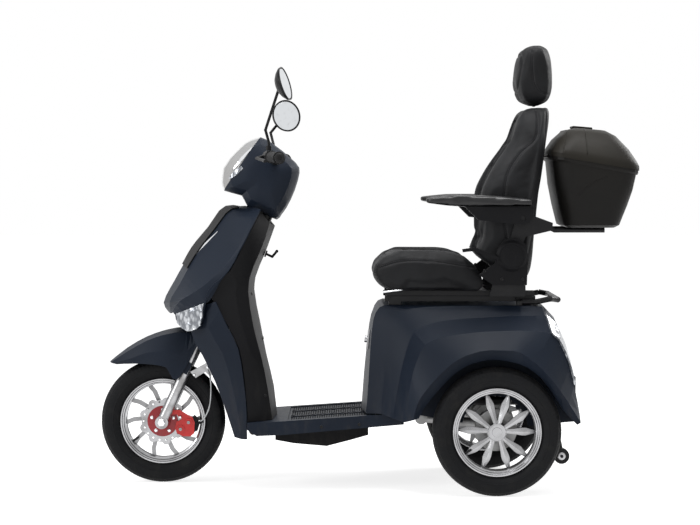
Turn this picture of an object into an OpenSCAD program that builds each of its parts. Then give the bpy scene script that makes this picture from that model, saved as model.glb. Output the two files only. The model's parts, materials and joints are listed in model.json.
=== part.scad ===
// Three-wheeled electric mobility scooter with a captain seat and a top case.
// x runs to the rear, y to the rider's right, z up from the ground.
// The front axle, the rear axle and the ground are the datums.

/* [Wheels] */
// Distance between the front axle and the rear axle
wheelbase = 1070; // [1020:5:1120]
// Outer radius of each tyre
tyre_r = 202; // [192:1:212]
// Width of each tyre
tyre_w = 84; // [70:1:92]
// Height of each tyre from the lip of the rim to the tread
tyre_h = 62; // [54:1:68]
// Distance between the middle planes of the two rear wheels
track = 660; // [630:5:680]
// Spokes on each wheel
spokes = 10; // [6:1:12]
// Gap between each tyre and what carries the wheel
wheel_gap = 8; // [6:1:12]

/* [Steering] */
// Lean of the steering axis to the rear
rake = 25; // [22:0.5:28]
// Distance of the front axle ahead of the steering axis
fork_offset = 20; // [12:1:30]
// Radius of a lower fork leg
leg_r = 18; // [14:1:22]
// Radius of the handlebar tube
bar_r = 11; // [9:0.5:14]
// Distance from the middle plane to the end of a grip
grip_end = 350; // [320:5:380]
// Length of a grip
grip_l = 118; // [100:1:130]
// Height of the grips above the ground
grip_z = 1057; // [1040:1:1080]
// Radius of the front brake disc
disc_r = 78; // [65:1:90]

/* [Body] */
// Wall of the moulded body panels
wall = 4; // [3:0.5:6]
// Reach of each rear mudguard past the outer side of its tyre
fender_over = 13; // [6:1:24]
// Height of the body deck under the seat
deck_z = 590; // [575:1:600]
// Half of the width of the front cowl and of the leg shield
cowl_w = 216; // [200:1:230]
// Half of the width of the footboard
floor_w = 232; // [215:1:245]
// Thickness of the footboard and its side lips
floor_t = 36; // [26:1:44]
// Height of the footboard at its front end
floor_z = 223; // [210:1:235]
// Rise of the footboard from its front end to its rear end, in degrees
floor_rise = 3.8; // [2:0.1:5]

/* [Seat] */
// Half of the width of the seat cushion
cushion_w = 238; // [215:1:245]
// Distance of the recliner pivot behind the rear axle
pivot_x = 52; // [40:1:65]
// Height of the recliner pivot above the deck
pivot_h = 159; // [150:1:170]
// Width of an armrest
arm_w = 58; // [45:1:70]
// Length of an armrest ahead of its pivot
arm_l = 282; // [250:1:300]
// Length of the seat slide rails
rail_l = 480; // [440:5:500]

/* [Case] */
// Half of the width of the top case at its rim
case_w = 205; // [180:1:230]
// Wall of the top case
case_wall = 3; // [2.5:0.5:5]
// Height of the lid above the rim, at the middle
lid_h = 82; // [60:1:90]

/* [Fit] */
// Gap between pieces that are seated on each other
fit = 0.3; // [0.2:0.05:0.5]

/* [Hidden] */
$fn = 64;

rim_r = tyre_r - tyre_h;
front_x = -670;
rear_x = front_x + wheelbase;
tan_rise = tan(floor_rise);

// Point given from the front axle, and from the rear axle
function ff(p) = [front_x + p[0], p[1], tyre_r + p[2]];
function rr(p) = [rear_x + p[0], p[1], tyre_r + p[2]];
// Point on the steering axis, t above the level of the axle along the axis
axis_x = fork_offset / cos(rake);
function on_axis(t) = [front_x + axis_x + t * sin(rake), 0, tyre_r + t * cos(rake)];

// Height of the top of the footboard at x
floor_x0 = front_x + 396;
function floor_at(x) = floor_z + (x - floor_x0) * tan_rise;
// Middle of a frame rail of radius 15 under the footboard at x
deck_t = 16;
rail_r = 15;
function under(x) = floor_at(x) - deck_t - fit - rail_r * 1.003;

// Slope limited cubic between b and c, which keeps flat stretches flat
function slope(a, b) = a * b <= 0 ? 0 : 2 * a * b / (a + b);
function ease1(a, b, c, d, t) =
    let (m0 = slope(b - a, c - b), m1 = slope(c - b, d - c),
        t2 = t * t, t3 = t2 * t)
    (2*t3 - 3*t2 + 1) * b + (t3 - 2*t2 + t) * m0 + (3*t2 - 2*t3) * c + (t3 - t2) * m1;
function ease(a, b, c, d, t) =
    [for (k = [0:len(b) - 1]) ease1(a[k], b[k], c[k], d[k], t)];
// Points of a line with n steps between each two stations
function fair(p, n) = let (m = len(p)) [
    for (i = [0:m - 2]) for (s = [0:n - 1])
        ease(p[max(i - 1, 0)], p[i], p[i + 1], p[min(i + 2, m - 1)], s / n),
    p[m - 1]];
function flip_y(p) = [p[0], -p[1], p[2]];
// Lines with m straight steps from each to the next
function strips(f, m) = [
    for (j = [0:len(f) - 2]) for (s = [0:m - 1])
        [for (i = [0:len(f[0]) - 1]) f[j][i] * (1 - s / m) + f[j + 1][i] * (s / m)],
    f[len(f) - 1]];
// Surface through lines that run alike, from the outer edge to the middle
// plane, and its mirror image on the other side
function both_sides(lines, n, m = 1) =
    let (f = strips([for (l = lines) fair(l, n)], m), k = len(f))
    [for (i = [0:len(f[0]) - 1]) [
        for (j = [0:k - 1]) flip_y(f[j][i]),
        for (j = [k - 2:-1:0]) f[j][i]]];
// Part of a surface, by its first and last row and column
function part_of(g, i0, i1, j0, j1) = [for (i = [i0:i1]) [for (j = [j0:j1]) g[i][j]]];
function unit(v) = v / max(norm(v), 0.000001);
// Normal of a surface at one of its points
function normal(g, i, j) = let (n = len(g), m = len(g[0]),
    a = g[min(i + 1, n - 1)][j] - g[max(i - 1, 0)][j],
    b = g[i][min(j + 1, m - 1)] - g[i][max(j - 1, 0)])
    unit(cross(a, b));
function lift(g, d) = [for (i = [0:len(g) - 1]) [for (j = [0:len(g[0]) - 1])
    g[i][j] + d * normal(g, i, j)]];
function volume6(p, f) = [for (t = f) p[t[0]] * cross(p[t[1]], p[t[2]])]
    * [for (t = f) 1];

// Closed solid from points and triangles, turned the right way out
module closed(p, f) {
    v = volume6(p, f);
    polyhedron(p, v > 0 ? [for (t = f) [t[0], t[2], t[1]]] : f);
}
function quad(a, b, c, d) = [[a, b, c], [a, c, d]];
// Panel of thickness t under the surface g
module panel(g, t) {
    slab(g, lift(g, -t));
}
// Solid between two surfaces of like rows and columns
module slab(g, h) {
    n = len(g);
    m = len(g[0]);
    k = n * m;
    p = [for (r = g) each r, for (r = h) each r];
    f = [
        for (i = [0:n - 2]) for (j = [0:m - 2]) each [
            each quad(i*m + j, i*m + j + 1, (i + 1)*m + j + 1, (i + 1)*m + j),
            each quad(k + i*m + j, k + (i + 1)*m + j, k + (i + 1)*m + j + 1, k + i*m + j + 1)],
        for (j = [0:m - 2]) each [
            each quad(j + 1, j, k + j, k + j + 1),
            each quad((n - 1)*m + j, (n - 1)*m + j + 1, k + (n - 1)*m + j + 1, k + (n - 1)*m + j)],
        for (i = [0:n - 2]) each [
            each quad(i*m, (i + 1)*m, k + (i + 1)*m, k + i*m),
            each quad((i + 1)*m + m - 1, i*m + m - 1, k + i*m + m - 1, k + (i + 1)*m + m - 1)]];
    closed(p, f);
}
// Solid through rings of points, closed at both ends
module skin(rings) {
    n = len(rings);
    m = len(rings[0]);
    ones = [for (i = [1:m]) 1 / m];
    p = [for (r = rings) each r, ones * rings[0], ones * rings[n - 1]];
    f = [
        for (i = [0:n - 2]) for (j = [0:m - 1]) each
            quad(i*m + j, (i + 1)*m + j, (i + 1)*m + (j + 1) % m, i*m + (j + 1) % m),
        for (j = [0:m - 1]) each [
            [n*m, j, (j + 1) % m],
            [n*m + 1, (n - 1)*m + (j + 1) % m, (n - 1)*m + j]]];
    closed(p, f);
}
// Rod of radius r from a to b
module rod(a, b, r) {
    d = b - a;
    translate(a)
        rotate([0, acos(d[2] / norm(d)), atan2(d[1], d[0])])
            cylinder(r = r, h = norm(d));
}
// Bent rod through points, with a ball at each bend
module bent_rod(p, r) {
    for (i = [0:len(p) - 2]) rod(p[i], p[i + 1], r);
    if (len(p) > 2) for (i = [1:len(p) - 2]) translate(p[i]) sphere(r + 0.4);
}
// Tubes welded end to end, each run a little past its corner
module welded(p, r) {
    for (i = [0:len(p) - 2]) {
        d = unit(p[i + 1] - p[i]);
        rod(p[i] - (i > 0 ? 0.6 * r : 0) * d, p[i + 1] + (i < len(p) - 2 ? 0.6 * r : 0) * d, r - 0.7 * i);
    }
}
// Profile in the plane of x and z, from y0 to y1
module side_plate(points, y0, y1) {
    translate([0, y1, 0]) rotate([90, 0, 0]) linear_extrude(y1 - y0) polygon(points);
}
module both() {
    children();
    mirror([0, 1, 0]) children();
}
// Places children at the steering axis with z along the axis
module along_axis(t = 0) {
    translate(on_axis(t)) rotate([0, rake, 0]) children();
}

// Wheels

// Outline of a tyre in the plane of radius and width
function tyre_outline() = let (h = tyre_w / 2, r0 = rim_r - 8, rise = tyre_r - rim_r) [
    [r0, -h * 0.66], [rim_r + 0.5, -h * 0.66], [rim_r + rise * 0.12, -h * 0.78], [rim_r + rise * 0.35, -h * 0.96],
    [rim_r + rise * 0.58, -h], [rim_r + rise * 0.8, -h * 0.9], [tyre_r - 4, -h * 0.66],
    [tyre_r, -h * 0.3], [tyre_r, h * 0.3],
    [tyre_r - 4, h * 0.66], [rim_r + rise * 0.8, h * 0.9], [rim_r + rise * 0.58, h],
    [rim_r + rise * 0.35, h * 0.96], [rim_r + rise * 0.12, h * 0.78],
    [rim_r + 0.5, h * 0.66], [r0, h * 0.66]];
module spin_y() {
    rotate([90, 0, 0]) children();
}
module tyre() {
    color("dimgray") spin_y() difference() {
        rotate_extrude($fn = 96) polygon(tyre_outline());
        for (a = [0:30:330]) rotate(a) for (s = [-1, 1])
            translate([tyre_r, 0, s * tyre_w * 0.12])
                cube([7, 3, tyre_w * 0.18], center = true);
    }
}
// Rim barrel with an outer lip on both sides
barrel_h = tyre_w * 0.33 + fit;
module barrel() {
    b = barrel_h;
    outer = [[rim_r, b], [rim_r, b + 3], [rim_r - 2, b + 6], [rim_r - 6, b + 6],
        [rim_r - 8, b + 2], [rim_r - 12, b + 1], [rim_r - 14, b - 2], [rim_r - 18, b - 4],
        [rim_r - 20, b - 12], [rim_r - 15, b - 22]];
    rotate_extrude($fn = 96) polygon([
        for (p = outer) p, for (i = [9:-1:0]) [outer[i][0], -outer[i][1]],
        [rim_r - 8 - fit, -b], [rim_r - 8 - fit, b]]);
}
hub_r = 27;
axle_r = 8;
// Point of a spoke, by its distance from the hub's axis and its angle
function polar(r, a) = [r * cos(a), r * sin(a)];
// Pointed blade of a rear wheel, ridged along its middle, from the root angle
// to the tip angle. Each station: share of the way, half width, height of the edge and of the ridge
blade_rows = [[0, 6, 16, 19], [0.3, 8, 15, 20], [0.56, 12, 13, 19], [0.66, 12, 12, 18], [1, 3, 9, 12]];
module blade(root, tip) {
    a = polar(hub_r - 6, root);
    b = polar(rim_r - 15, tip);
    d = unit(b - a);
    across = [-d[1], d[0]];
    skin([for (r = blade_rows) let (c = a + (b - a) * r[0])
        [for (p = [[-1, 3], [-1, r[2]], [0, r[3]], [1, r[2]], [1, 3]])
            [c[0] + across[0] * r[1] * p[0], c[1] + across[1] * r[1] * p[0], p[1]]]]);
}
module rear_rim() {
    color("silver") spin_y() difference() {
        union() {
            barrel();
            cylinder(r = hub_r, h = barrel_h * 2 - 14, center = true);
            // Stepped centre cap
            translate([0, 0, 8]) cylinder(r1 = hub_r + 5, r2 = hub_r, h = 14);
            translate([0, 0, 12]) cylinder(r = hub_r - 3, h = 14);
            translate([0, 0, 14]) cylinder(r1 = hub_r - 8, r2 = hub_r - 12, h = 15);
            // Spokes in pairs that meet at the hub
            for (i = [0:spokes / 2 - 1]) for (s = [-1, 1])
                blade(16.5 + i * 720 / spokes + s * 9, 16.5 + i * 720 / spokes + s * 16.5);
        }
        translate([0, 0, -tyre_w]) cylinder(r = axle_r + fit, h = tyre_w + 10);
    }
}
// Slim bent spoke of the front wheel
module bent_spoke() {
    linear_extrude(12, center = true) polygon([
        [hub_r - 6, -11], [rim_r * 0.45, -12], [rim_r * 0.7, -9], [rim_r - 14, 2],
        [rim_r - 14, 17], [rim_r * 0.7, 5], [rim_r * 0.45, 1], [hub_r - 6, 2]]);
}
module front_rim() {
    color("silver") translate(ff([0, 0, 0])) spin_y() difference() {
        union() {
            barrel();
            cylinder(r = hub_r, h = tyre_w - 20, center = true);
            for (i = [0:spokes - 1]) rotate(i * 360 / spokes) bent_spoke();
        }
        cylinder(r = axle_r + fit, h = 2 * tyre_w, center = true);
    }
}
module front_tyre() { translate(ff([0, 0, 0])) tyre(); }
module wheel_left() { translate(rr([0, -track / 2, 0])) children(); }
module wheel_right() { mirror([0, 1, 0]) wheel_left() children(); }
module tyre_left() { wheel_left() tyre(); }
module tyre_right() { wheel_right() tyre(); }
module rim_left() { wheel_left() rear_rim(); }
module rim_right() { wheel_right() rear_rim(); }
// Wavy disc on the left of the front wheel, on the end of the hub
disc_y = tyre_w / 2 - 10 + 1.5 + fit;
module brake_disc() {
    color("silver") translate(ff([0, -disc_y, 0])) spin_y() difference() {
        union() {
            for (a = [0:40:320]) rotate(a) translate([disc_r - 14, 0, 0])
                cylinder(r = 14, h = 3, center = true);
            cylinder(r = disc_r - 9, h = 3, center = true);
        }
        for (a = [0:20:340]) rotate(a) translate([disc_r - 15, 0, 0])
            cylinder(r = 3, h = 5, center = true, $fn = 16);
        cylinder(r = axle_r + fit, h = 5, center = true);
    }
}

// Steering

leg_y = tyre_w / 2 + wheel_gap + leg_r - 2;
leg_top = 380;
module fork() {
    color("silver") {
        both() {
            // Lower leg, upper tube and clamp of the lower yoke
            translate(ff([0, leg_y, 0])) rotate([0, rake, 0]) {
                translate([0, 0, -6]) cylinder(r = leg_r, h = 190);
                cylinder(r = leg_r - 4, h = leg_top);
                translate([0, 0, leg_top - 34]) cylinder(r = leg_r + 4, h = 36);
            }
            translate(ff([0, leg_y, 0])) spin_y()
                cylinder(r = 21, h = 2 * (leg_r + 1), center = true);
        }
        // Lower yoke
        translate(ff([0, 0, 0])) rotate([0, rake, 0])
            translate([-12, -leg_y - 7, leg_top - 29])
                cube([31 + fork_offset, 2 * leg_y + 14, 24]);
        // Steering stem
        along_axis(leg_top - 24) cylinder(r = 14, h = stem_top - leg_top + 24);
        // Axle
        translate(ff([0, 0, 0])) spin_y()
            cylinder(r = axle_r, h = 2 * (leg_y + leg_r + 6), center = true);
    }
}
grip_x = front_x + axis_x + (grip_z - tyre_r) * tan(rake) - 30;
bar = [grip_x - 20, 0, grip_z - 14];
// Slanted end of the bar: where it starts, and its end
bar_a = [grip_x - 40, grip_end - grip_l - 36, grip_z + 6];
bar_b = [grip_x, grip_end, grip_z];
stem_top = (bar[2] - tyre_r) / cos(rake) - 8;

// Front mudguard, from its lower edge to its middle line
guard_w = leg_y + leg_r + 5;
module front_mudguard() {
    g = both_sides([for (l = [
        [[-150,34,185], [-85,66,190], [-25,84,188], [16,92,180], [37,94,144], [52,94,141], [82,92,184], [116,86,250]],
        [[-163,31,188], [-103,62,206], [-42,80,228], [8,88,232], [34,90,225], [56,90,222], [84,88,232], [110,82,262]],
        [[-171,22,191], [-114,48,228], [-50,60,264], [2,66,283], [31,68,289], [56,68,292], [82,66,291], [101,62,287]],
        [[-175,0,193], [-118,0,238], [-53,0,275], [0,0,294], [30,0,301], [55,0,305], [80,0,304], [97,0,300]]])
        [for (p = l) ff([p[0], p[1] * guard_w / 90, p[2] * tyre_r / 202])]], 2);
    color("darkslategray") panel(g, 3);
    // Stays from the fork legs to the inside of the guard
    color("black") both() translate(ff([0, leg_y + leg_r + fit, 0])) rotate([0, rake, 0])
        translate([-9, 0, 176]) cube([18, 2, 40]);
}
module brake_caliper() {
    // Red two-piston caliper behind the left fork leg, over the disc
    y0 = -disc_y - 13;
    color("red") translate(ff([disc_r - 5, 0, -15])) {
        difference() {
            union() {
                side_plate([[-32, -6], [-26, -24], [-6, -34], [18, -34], [30, -24], [32, 12], [24, 30],
                    [4, 36], [-8, 24], [-28, 14]], y0, -disc_y + 9);
                for (p = [[-14, -10], [12, 12]]) translate([p[0], y0, p[1]]) spin_y() cylinder(r = 13, h = 5);
            }
            translate([-40, -disc_y - 3, -40]) cube([50, 6, 80]);
        }
    }
    // Plate from the inner side of the leg to the caliper
    color("silver") translate(ff([0, 0, 0]))
        side_plate([[2, leg_r + 5], [2, leg_r + 19], [56, leg_r + 20], [88, leg_r], [80, 4], [56, 12], [46, leg_r + 5]],
            leg_r - leg_y + fit, leg_r - leg_y + fit + 4);
}
// Places children with z from a towards b
module from_to(a, b) {
    d = b - a;
    translate(a) rotate([0, acos(d[2] / norm(d)), atan2(d[1], d[0])]) children();
}
bar_dir = unit(bar_b - bar_a);
module handlebar() {
    color("black") {
        both() bent_rod([bar, bar + [0, 142, 4], bar_a, bar_b - 6 * bar_dir], bar_r);
        // Clamp on the stem, and the riser to the bar
        difference() {
            union() {
                along_axis(stem_top - 30) cylinder(r = 22, h = 44);
                rod(on_axis(stem_top + 12), bar + [3, 0, 0], 13);
            }
            along_axis(stem_top - 40) cylinder(r = 14 + fit, h = 40 + fit);
        }
        // Switch housings and brake levers
        both() {
            from_to(bar_a, bar_b) cylinder(r = 19, h = 32);
            bent_rod([bar_a + [-14, 16, 0], bar_a + [-34, 40, -6],
                bar_b + [-44, -14, -10]], 5);
        }
    }
}
module grips() {
    color("dimgray") both() from_to(bar_b, bar_a) difference() {
        union() {
            cylinder(r = 17, h = grip_l);
            cylinder(r = 20, h = 5);
            translate([0, 0, grip_l - 5]) cylinder(r = 20, h = 5);
        }
        translate([0, 0, 4]) cylinder(r = bar_r + fit, h = grip_l);
    }
}
// Head cowl, its side profile drawn in towards both ends
head_mid = [bar[0] - 24, bar[2] - 12];
head_profile = [[-106,50], [-148,-4], [-153,-50], [-145,-78], [-88,-94], [-70,-128],
    [-24,-150], [26,-172], [40,-156], [56,-134], [84,-75], [99,-20], [98,-2], [64,34], [22,68], [-28,97], [-76,78]];
module head_form() {
    skin([for (y = [-128, -122, -104, -70, -30, 30, 70, 104, 122, 128])
        let (k = sqrt(max(0, 1 - pow(abs(y) / 131, 4))))
        [for (p = fair([for (q = head_profile) [q[0], 0, q[1]]], 2))
            [head_mid[0] + p[0] * k, y, head_mid[1] + (p[2] + 20) * k - 20]]]);
}
// Everything ahead of the slanted plane where the lens meets the cowl
module lens_side(d) {
    translate([head_mid[0] - 145 - d, 0, head_mid[1] - 78]) rotate([0, 34.5, 0])
        translate([-200, -150, -60]) cube([200, 300, 400]);
}
module head_cowl() {
    color("darkslategray") difference() {
        head_form();
        lens_side(0);
        // Seat on the bar, and room for the stem and its clamp
        both() rod(bar + [0, -1, 0], bar + [0, 142, 4] * 1.1, bar_r + fit);
        along_axis(500) cylinder(r = 30, h = stem_top - 470);
        rod(on_axis(stem_top + 12), bar + [3, 0, 0], 18);
    }
}
module headlamp() {
    color("white") intersection() {
        head_form();
        lens_side(fit);
    }
}
function facing(turn, tilt) = [cos(tilt) * cos(turn), cos(tilt) * sin(turn), sin(tilt)];
// Mirror on a bent stem: middle of the glass, turn and tilt of the head
module mirror_head(s, top, turn, tilt) {
    a = bar_a + [3, 13, 19 + fit];
    mirror([0, s < 0 ? 1 : 0, 0]) {
        translate(a) cylinder(r = 9, h = 14);
        bent_rod([a + [0, 0, 6], a + [0, 0, 26], a + [-10, 18, 64], top - 14 * facing(turn, tilt)], 4.5);
        translate(top) rotate([0, 0, turn]) rotate([0, 90 - tilt, 0]) rotate_extrude() polygon([
            [0, -26], [12, -26], [26, -22], [41, -13], [52, -2], [54, 6], [51, 6], [49, 1], [0, 1]]);
    }
}
mirror_l = bar_a + [54, 92, 226];
mirror_r = bar_a + [44, 40, 140];
module mirrors() {
    color("black") {
        mirror_head(-1, mirror_l, 14, 16);
        mirror_head(1, mirror_r, -58, 8);
    }
}
module glass(s, top, turn, tilt) {
    mirror([0, s < 0 ? 1 : 0, 0]) translate(top) rotate([0, 0, turn]) rotate([0, 90 - tilt, 0])
        translate([0, 0, 1 + fit]) cylinder(r = 49 - fit, h = 3);
}
module mirror_glass() {
    color("lightgray") {
        glass(-1, mirror_l, 14, 16);
        glass(1, mirror_r, -58, 8);
    }
}

// Body panels at the front

// Lines of the front cowl, from the rear edge to the nose
cowl_lines = [for (l = [
    [[323,130,692], [298,180,638], [270,205,583], [227,215,500], [158,216,432], [135,205,322], [95,190,304], [52,140,338]],
    [[319,122,694], [292,174,640], [262,202,573], [212,212,495], [160,213,400], [140,207,392], [95,188,374], [50,144,354]],
    [[315,115,695], [285,165,643], [250,195,563], [190,205,490], [140,202,446], [100,190,420], [65,165,398], [38,110,362]],
    [[285,60,699], [230,70,690], [175,85,625], [122,95,555], [88,98,500], [60,100,448], [28,95,390], [30,70,354]],
    [[268,0,702], [206,0,697], [151,0,630], [96,0,563], [66,0,510], [39,0,462], [1,0,385], [20,0,352]]])
    [for (p = l) ff([p[0], p[1] * cowl_w / 216, p[2]])]];
module front_cowl() {
    color("darkslategray") panel(both_sides(cowl_lines, 3, 2), -wall);
}
// Piece of thickness t laid on the cowl, by its first and last row and column
module on_cowl(i0, i1, j0, j1, t) {
    g = both_sides(cowl_lines, 3, 2);
    slab(part_of(lift(g, -fit - t), i0, i1, j0, j1), part_of(lift(g, -fit), i0, i1, j0, j1));
}
module nose_trim() {
    color("black") on_cowl(2, 12, 6, 10, 5);
}
module front_signals() {
    color("white") {
        on_cowl(14, 20, 0, 2, 5);
        on_cowl(14, 20, 14, 16, 5);
    }
}
module leg_shield() {
    g = both_sides([for (l = [
        [[184,212,400], [218,212,327], [256,212,248], [272,212,153], [282,210,42], [282,208,-40]],
        [[152,196,390], [160,203,316], [205,205,236], [232,204,146], [256,202,36], [264,200,-40]],
        [[124,172,372], [100,163,304], [138,158,224], [178,155,140], [217,152,32], [240,150,-40]],
        [[200,116,238], [202,116,205], [206,114,170], [214,112,120], [230,110,30], [244,108,-40]],
        [[202,0,222], [204,0,195], [208,0,162], [218,0,115], [234,0,28], [246,0,-40]]])
        [for (p = l) ff([p[0], p[1] * cowl_w / 216, p[2]])]], 2);
    color("darkslategray") panel(g, -wall);
}
// Height of the foot of the knee panel, from the axle
function foot(x) = floor_at(front_x + x) + fit - tyre_r;
knee_lines = [for (l = [
    [[325,122,686], [301,172,636], [273,197,581], [230,207,498], [162,204,431], [221,205,326], [259,206,247], [275,206,152], [286,204,foot(286)]],
    [[340,112,664], [322,150,612], [300,176,562], [262,190,486], [246,194,428], [266,194,323], [294,194,236], [312,194,136], [325,194,foot(325)]],
    [[352,92,648], [338,122,598], [320,142,550], [290,160,474], [286,166,428], [302,168,318], [327,170,222], [348,172,118], [362,174,foot(362)]],
    [[366,0,637], [350,0,592], [333,0,546], [302,0,469], [298,0,428], [319,0,312], [338,0,214], [362,0,112], [372,0,foot(372)]]])
    [for (p = l) ff([p[0], p[1] * cowl_w / 216, p[2]])]];
module knee_panel() {
    color("black") panel(both_sides(knee_lines, 2), wall);
}
module bag_hook() {
    p = ff([333, 0, 546]);
    color("black") translate(p) rotate([0, 20, 0]) {
        translate([0.5 + fit, 0, 0]) rotate([0, 90, 0]) cylinder(r = 11, h = 5);
        bent_rod([[3, 0, 0], [26, 0, -2], [34, 0, 20]], 4);
        translate([34, 0, 20]) sphere(5);
    }
}

// Rear body

dz = deck_z - tyre_r;
// Point of the wheel arch, by its angle from the rear and its gap to the tyre
function arch(a, gap, y) = [(tyre_r + gap) * cos(a), y, (tyre_r + gap) * sin(a)];
side = track / 2 + tyre_w / 2 + fender_over;
// Edge of the wheel arch: angle, gap to the tyre, distance inside the side
arch_rows = [[170, 46, 35], [162, 38, 33], [146.4, 24, 31], [129, 23, 31], [119, 25, 31], [109, 26, 31],
    [92, 25, 31], [71.7, 22, 31], [50, 16, 32], [18, 16, 35], [5, 50, 45]];
// Inner side of the wheel house, and how far it reaches down to the axle
house_y = track / 2 - 83;
house_r = 104;
body_lines = [for (l = [
    [for (r = arch_rows) arch(r[0], house_r - tyre_r, house_y)],
    [for (r = arch_rows) arch(r[0], r[1], house_y)],
    [for (r = arch_rows) arch(r[0], r[1], side - r[2])],
    [[-262,side - 10,40], [-250,side - 3,90], [-210,side,150], [-162,side,200], [-135,side,222], [-105,side,239],
        [-29,side,259], [48,side,257], [115,side,220], [194,side - 5,133], [261,side - 30,30]],
    [[-290,side - 45,30], [-276,side - 40,120], [-260,side - 40,194], [-224,side - 44,272], [-182,side - 48,293], [-128,side - 50,303],
        [-25,side - 50,314], [79,side - 52,316], [170,side - 58,306], [230,side - 68,198], [261,side - 75,58]],
    [[-324,285,36], [-310,285,124], [-292,283,212], [-258,275,306], [-205,268,332], [-145,262,345],
        [-30,258,dz - 35], [64,255,dz - 31], [158,250,dz - 30], [233,250,212], [256,250,74]],
    [[-362,240,46], [-352,240,148], [-342,240,238], [-320,238,338], [-280,232,dz - 12], [-200,228,dz - 3],
        [-55,224,dz], [40,222,dz], [150,218,dz - 4], [238,215,200], [252,215,80]],
    [[-408,205,43], [-400,205,148], [-395,205,238], [-384,203,346], [-350,198,dz], [-200,195,dz],
        [-55,195,dz], [40,195,dz], [154,192,dz], [241,190,200], [253,190,82]],
    [[-422,0,41], [-414,0,148], [-405,0,238], [-390,0,348], [-356,0,dz], [-220,0,dz],
        [-55,0,dz], [40,0,dz], [156,0,dz], [243,0,200], [255,0,84]]])
    [for (p = l) rr(p)]];
module rear_body() {
    color("darkslategray") panel(both_sides(body_lines, 3, 2), wall);
}
module body_latch() {
    color("gray") translate(rr([-407.4, -100, 242])) rotate([0, 6, 0]) {
        translate([0, -14, 0]) cube([6, 28, 62]);
        translate([-8, 0, 31]) rotate([0, 90, 0]) cylinder(r = 11, h = 9);
    }
}
module tail_lamps() {
    g = both_sides(body_lines, 3, 2);
    last = len(g[0]) - 1;
    color("white") for (j = [8, last - 10])
        slab(part_of(lift(g, fit + 7), 24, 28, j, j + 2), part_of(lift(g, fit), 24, 28, j, j + 2));
}
module grab_rail() {
    z = deck_z + 11;
    // End of the slide rails, and the cross run of the rail behind them
    e = rail_x0 + rail_l;
    x = e + 72;
    color("black") {
        both() {
            bent_rod([[e - 52, 205, z], [e - 2, 208, z], [e + 46, 208, z + 10], [x, 180, z + 6]], 9);
            translate([e - 52, 205, deck_z + fit]) cylinder(r = 11, h = 14);
            translate([e - 2, 205, deck_z + fit]) cylinder(r = 9, h = 11);
            translate([x, 180, z + 6]) sphere(9.4);
        }
        rod([x, -180, z + 6], [x, 180, z + 6], 9);
    }
}
module rear_panel_plate() {
    color("black") translate(rr([0, 0, 0])) {
        translate([251 + fit, -60, 128]) cube([20, 120, 14]);
        translate([268, -95, 66]) cube([3, 190, 84]);
    }
}
// Heavy block of batteries inside the body
module batteries() {
    color("gray") translate([rear_x - 308, -160, tyre_r + 78 + 14 + fit])
        cube([276, 320, 190]);
}

// Frame and running gear

module frame() {
    head_b = on_axis(leg_top + 16);
    head_t = on_axis(stem_top - 120);
    x0 = front_x + 300;
    x1 = rear_x - 380;
    z1 = tyre_r + 78;
    z2 = deck_z - wall - 22;
    color("black") {
        // Head tube round the stem, down tube and cross tube
        difference() {
            union() {
                rod(head_b, head_t, 24);
                rod(head_b + [26, 0, 24], [x0, 0, under(x0) + 40], 20);
                rod(on_axis(leg_top + 170) + [12, -cowl_w + 46, 0],
                    on_axis(leg_top + 170) + [12, cowl_w - 46, 0], 9);
            }
            rod(on_axis(leg_top), on_axis(stem_top), 14 + fit);
        }
        rod([x0, 0, under(x0)], [x0, 0, under(x0) + 48], 19);
        // Two main rails under the footboard, then up and over the axle
        rod([x0, -150 - rail_r * 0.6, under(x0)], [x0, 150 + rail_r * 0.6, under(x0)], rail_r - 1.3);
        both() {
            rod([x0 - 6, 150, under(x0 - 6)], [x1 + 6, 150, under(x1 + 6)], rail_r);
            welded([[x1, 150, under(x1)], [x1 + 50, 150, z1], [rear_x + 190, 150, z1],
                [rear_x + 150, 150, z2]], 14);
            welded([[x1 + 52, 152, z1 + 4], [x1 + 52, 199, z1 + 40], [x1 + 52, 199, z2 - 7],
                [rear_x + 154, 152, z2 - 2]], 12);
        }
        rod([x1 + 2, -150, under(x1) + 1], [x1 + 2, 150, under(x1) + 1], 12);
        rod([rear_x + 188, -150, z1], [rear_x + 188, 150, z1], 12.5);
        rod([rear_x + 150, -150, z2], [rear_x + 150, 150, z2], 11);
    }
}
// Footboard with raised side lips and moulded cross ribs
board_x0 = front_x + 284;
board_x1 = rear_x - 288;
module footboard() {
    x0 = board_x0;
    x1 = board_x1;
    xr = x0 + 128;
    color("darkslategray") difference() {
        side_plate([[x0, floor_at(x0)], [x1, floor_at(x1)], [x1, floor_at(x1) - floor_t],
            [x0 + 110, floor_at(x0 + 110) - floor_t - 8], [x0 + 30, floor_at(x0) - floor_t - 4],
            [x0, floor_at(x0) - 20]], -floor_w, floor_w);
        // Sunk tread
        side_plate([[xr, floor_at(xr) - 4], [xr, floor_at(x1) + 30],
            [x1 + 10, floor_at(x1) + 30], [x1 + 10, floor_at(x1 + 10) - 4]],
            -floor_w + 28, floor_w - 28);
        // Hollow underside over the frame rails
        side_plate([[x0 - 20, 50], [x0 - 20, floor_at(x0 - 20) - deck_t], [x1 - 12, floor_at(x1 - 12) - deck_t],
            [x1 - 12, 50]], -floor_w + 12, floor_w - 12);
        // Notch round the down tube
        translate([x0 - 20, -22, floor_z - 60]) cube([64, 44, 120]);
        // Cut-outs where the rails rise
        both() translate([rear_x - 394, 132, floor_z - 60]) cube([120, 36, 120]);
    }
    color("black") for (i = [0:6]) for (s = [-1, 1]) {
        x = xr + 12 + i * (rear_x - 430 - xr) / 7;
        translate([x, 0, floor_at(x) - 4.2]) rotate([0, -floor_rise, 0])
            for (a = [-1, 1]) translate([18, s * 78, 0])
                rotate([0, 0, a * 48]) translate([-30, -2.5, 0]) cube([60, 5, 3]);
    }
}
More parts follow.
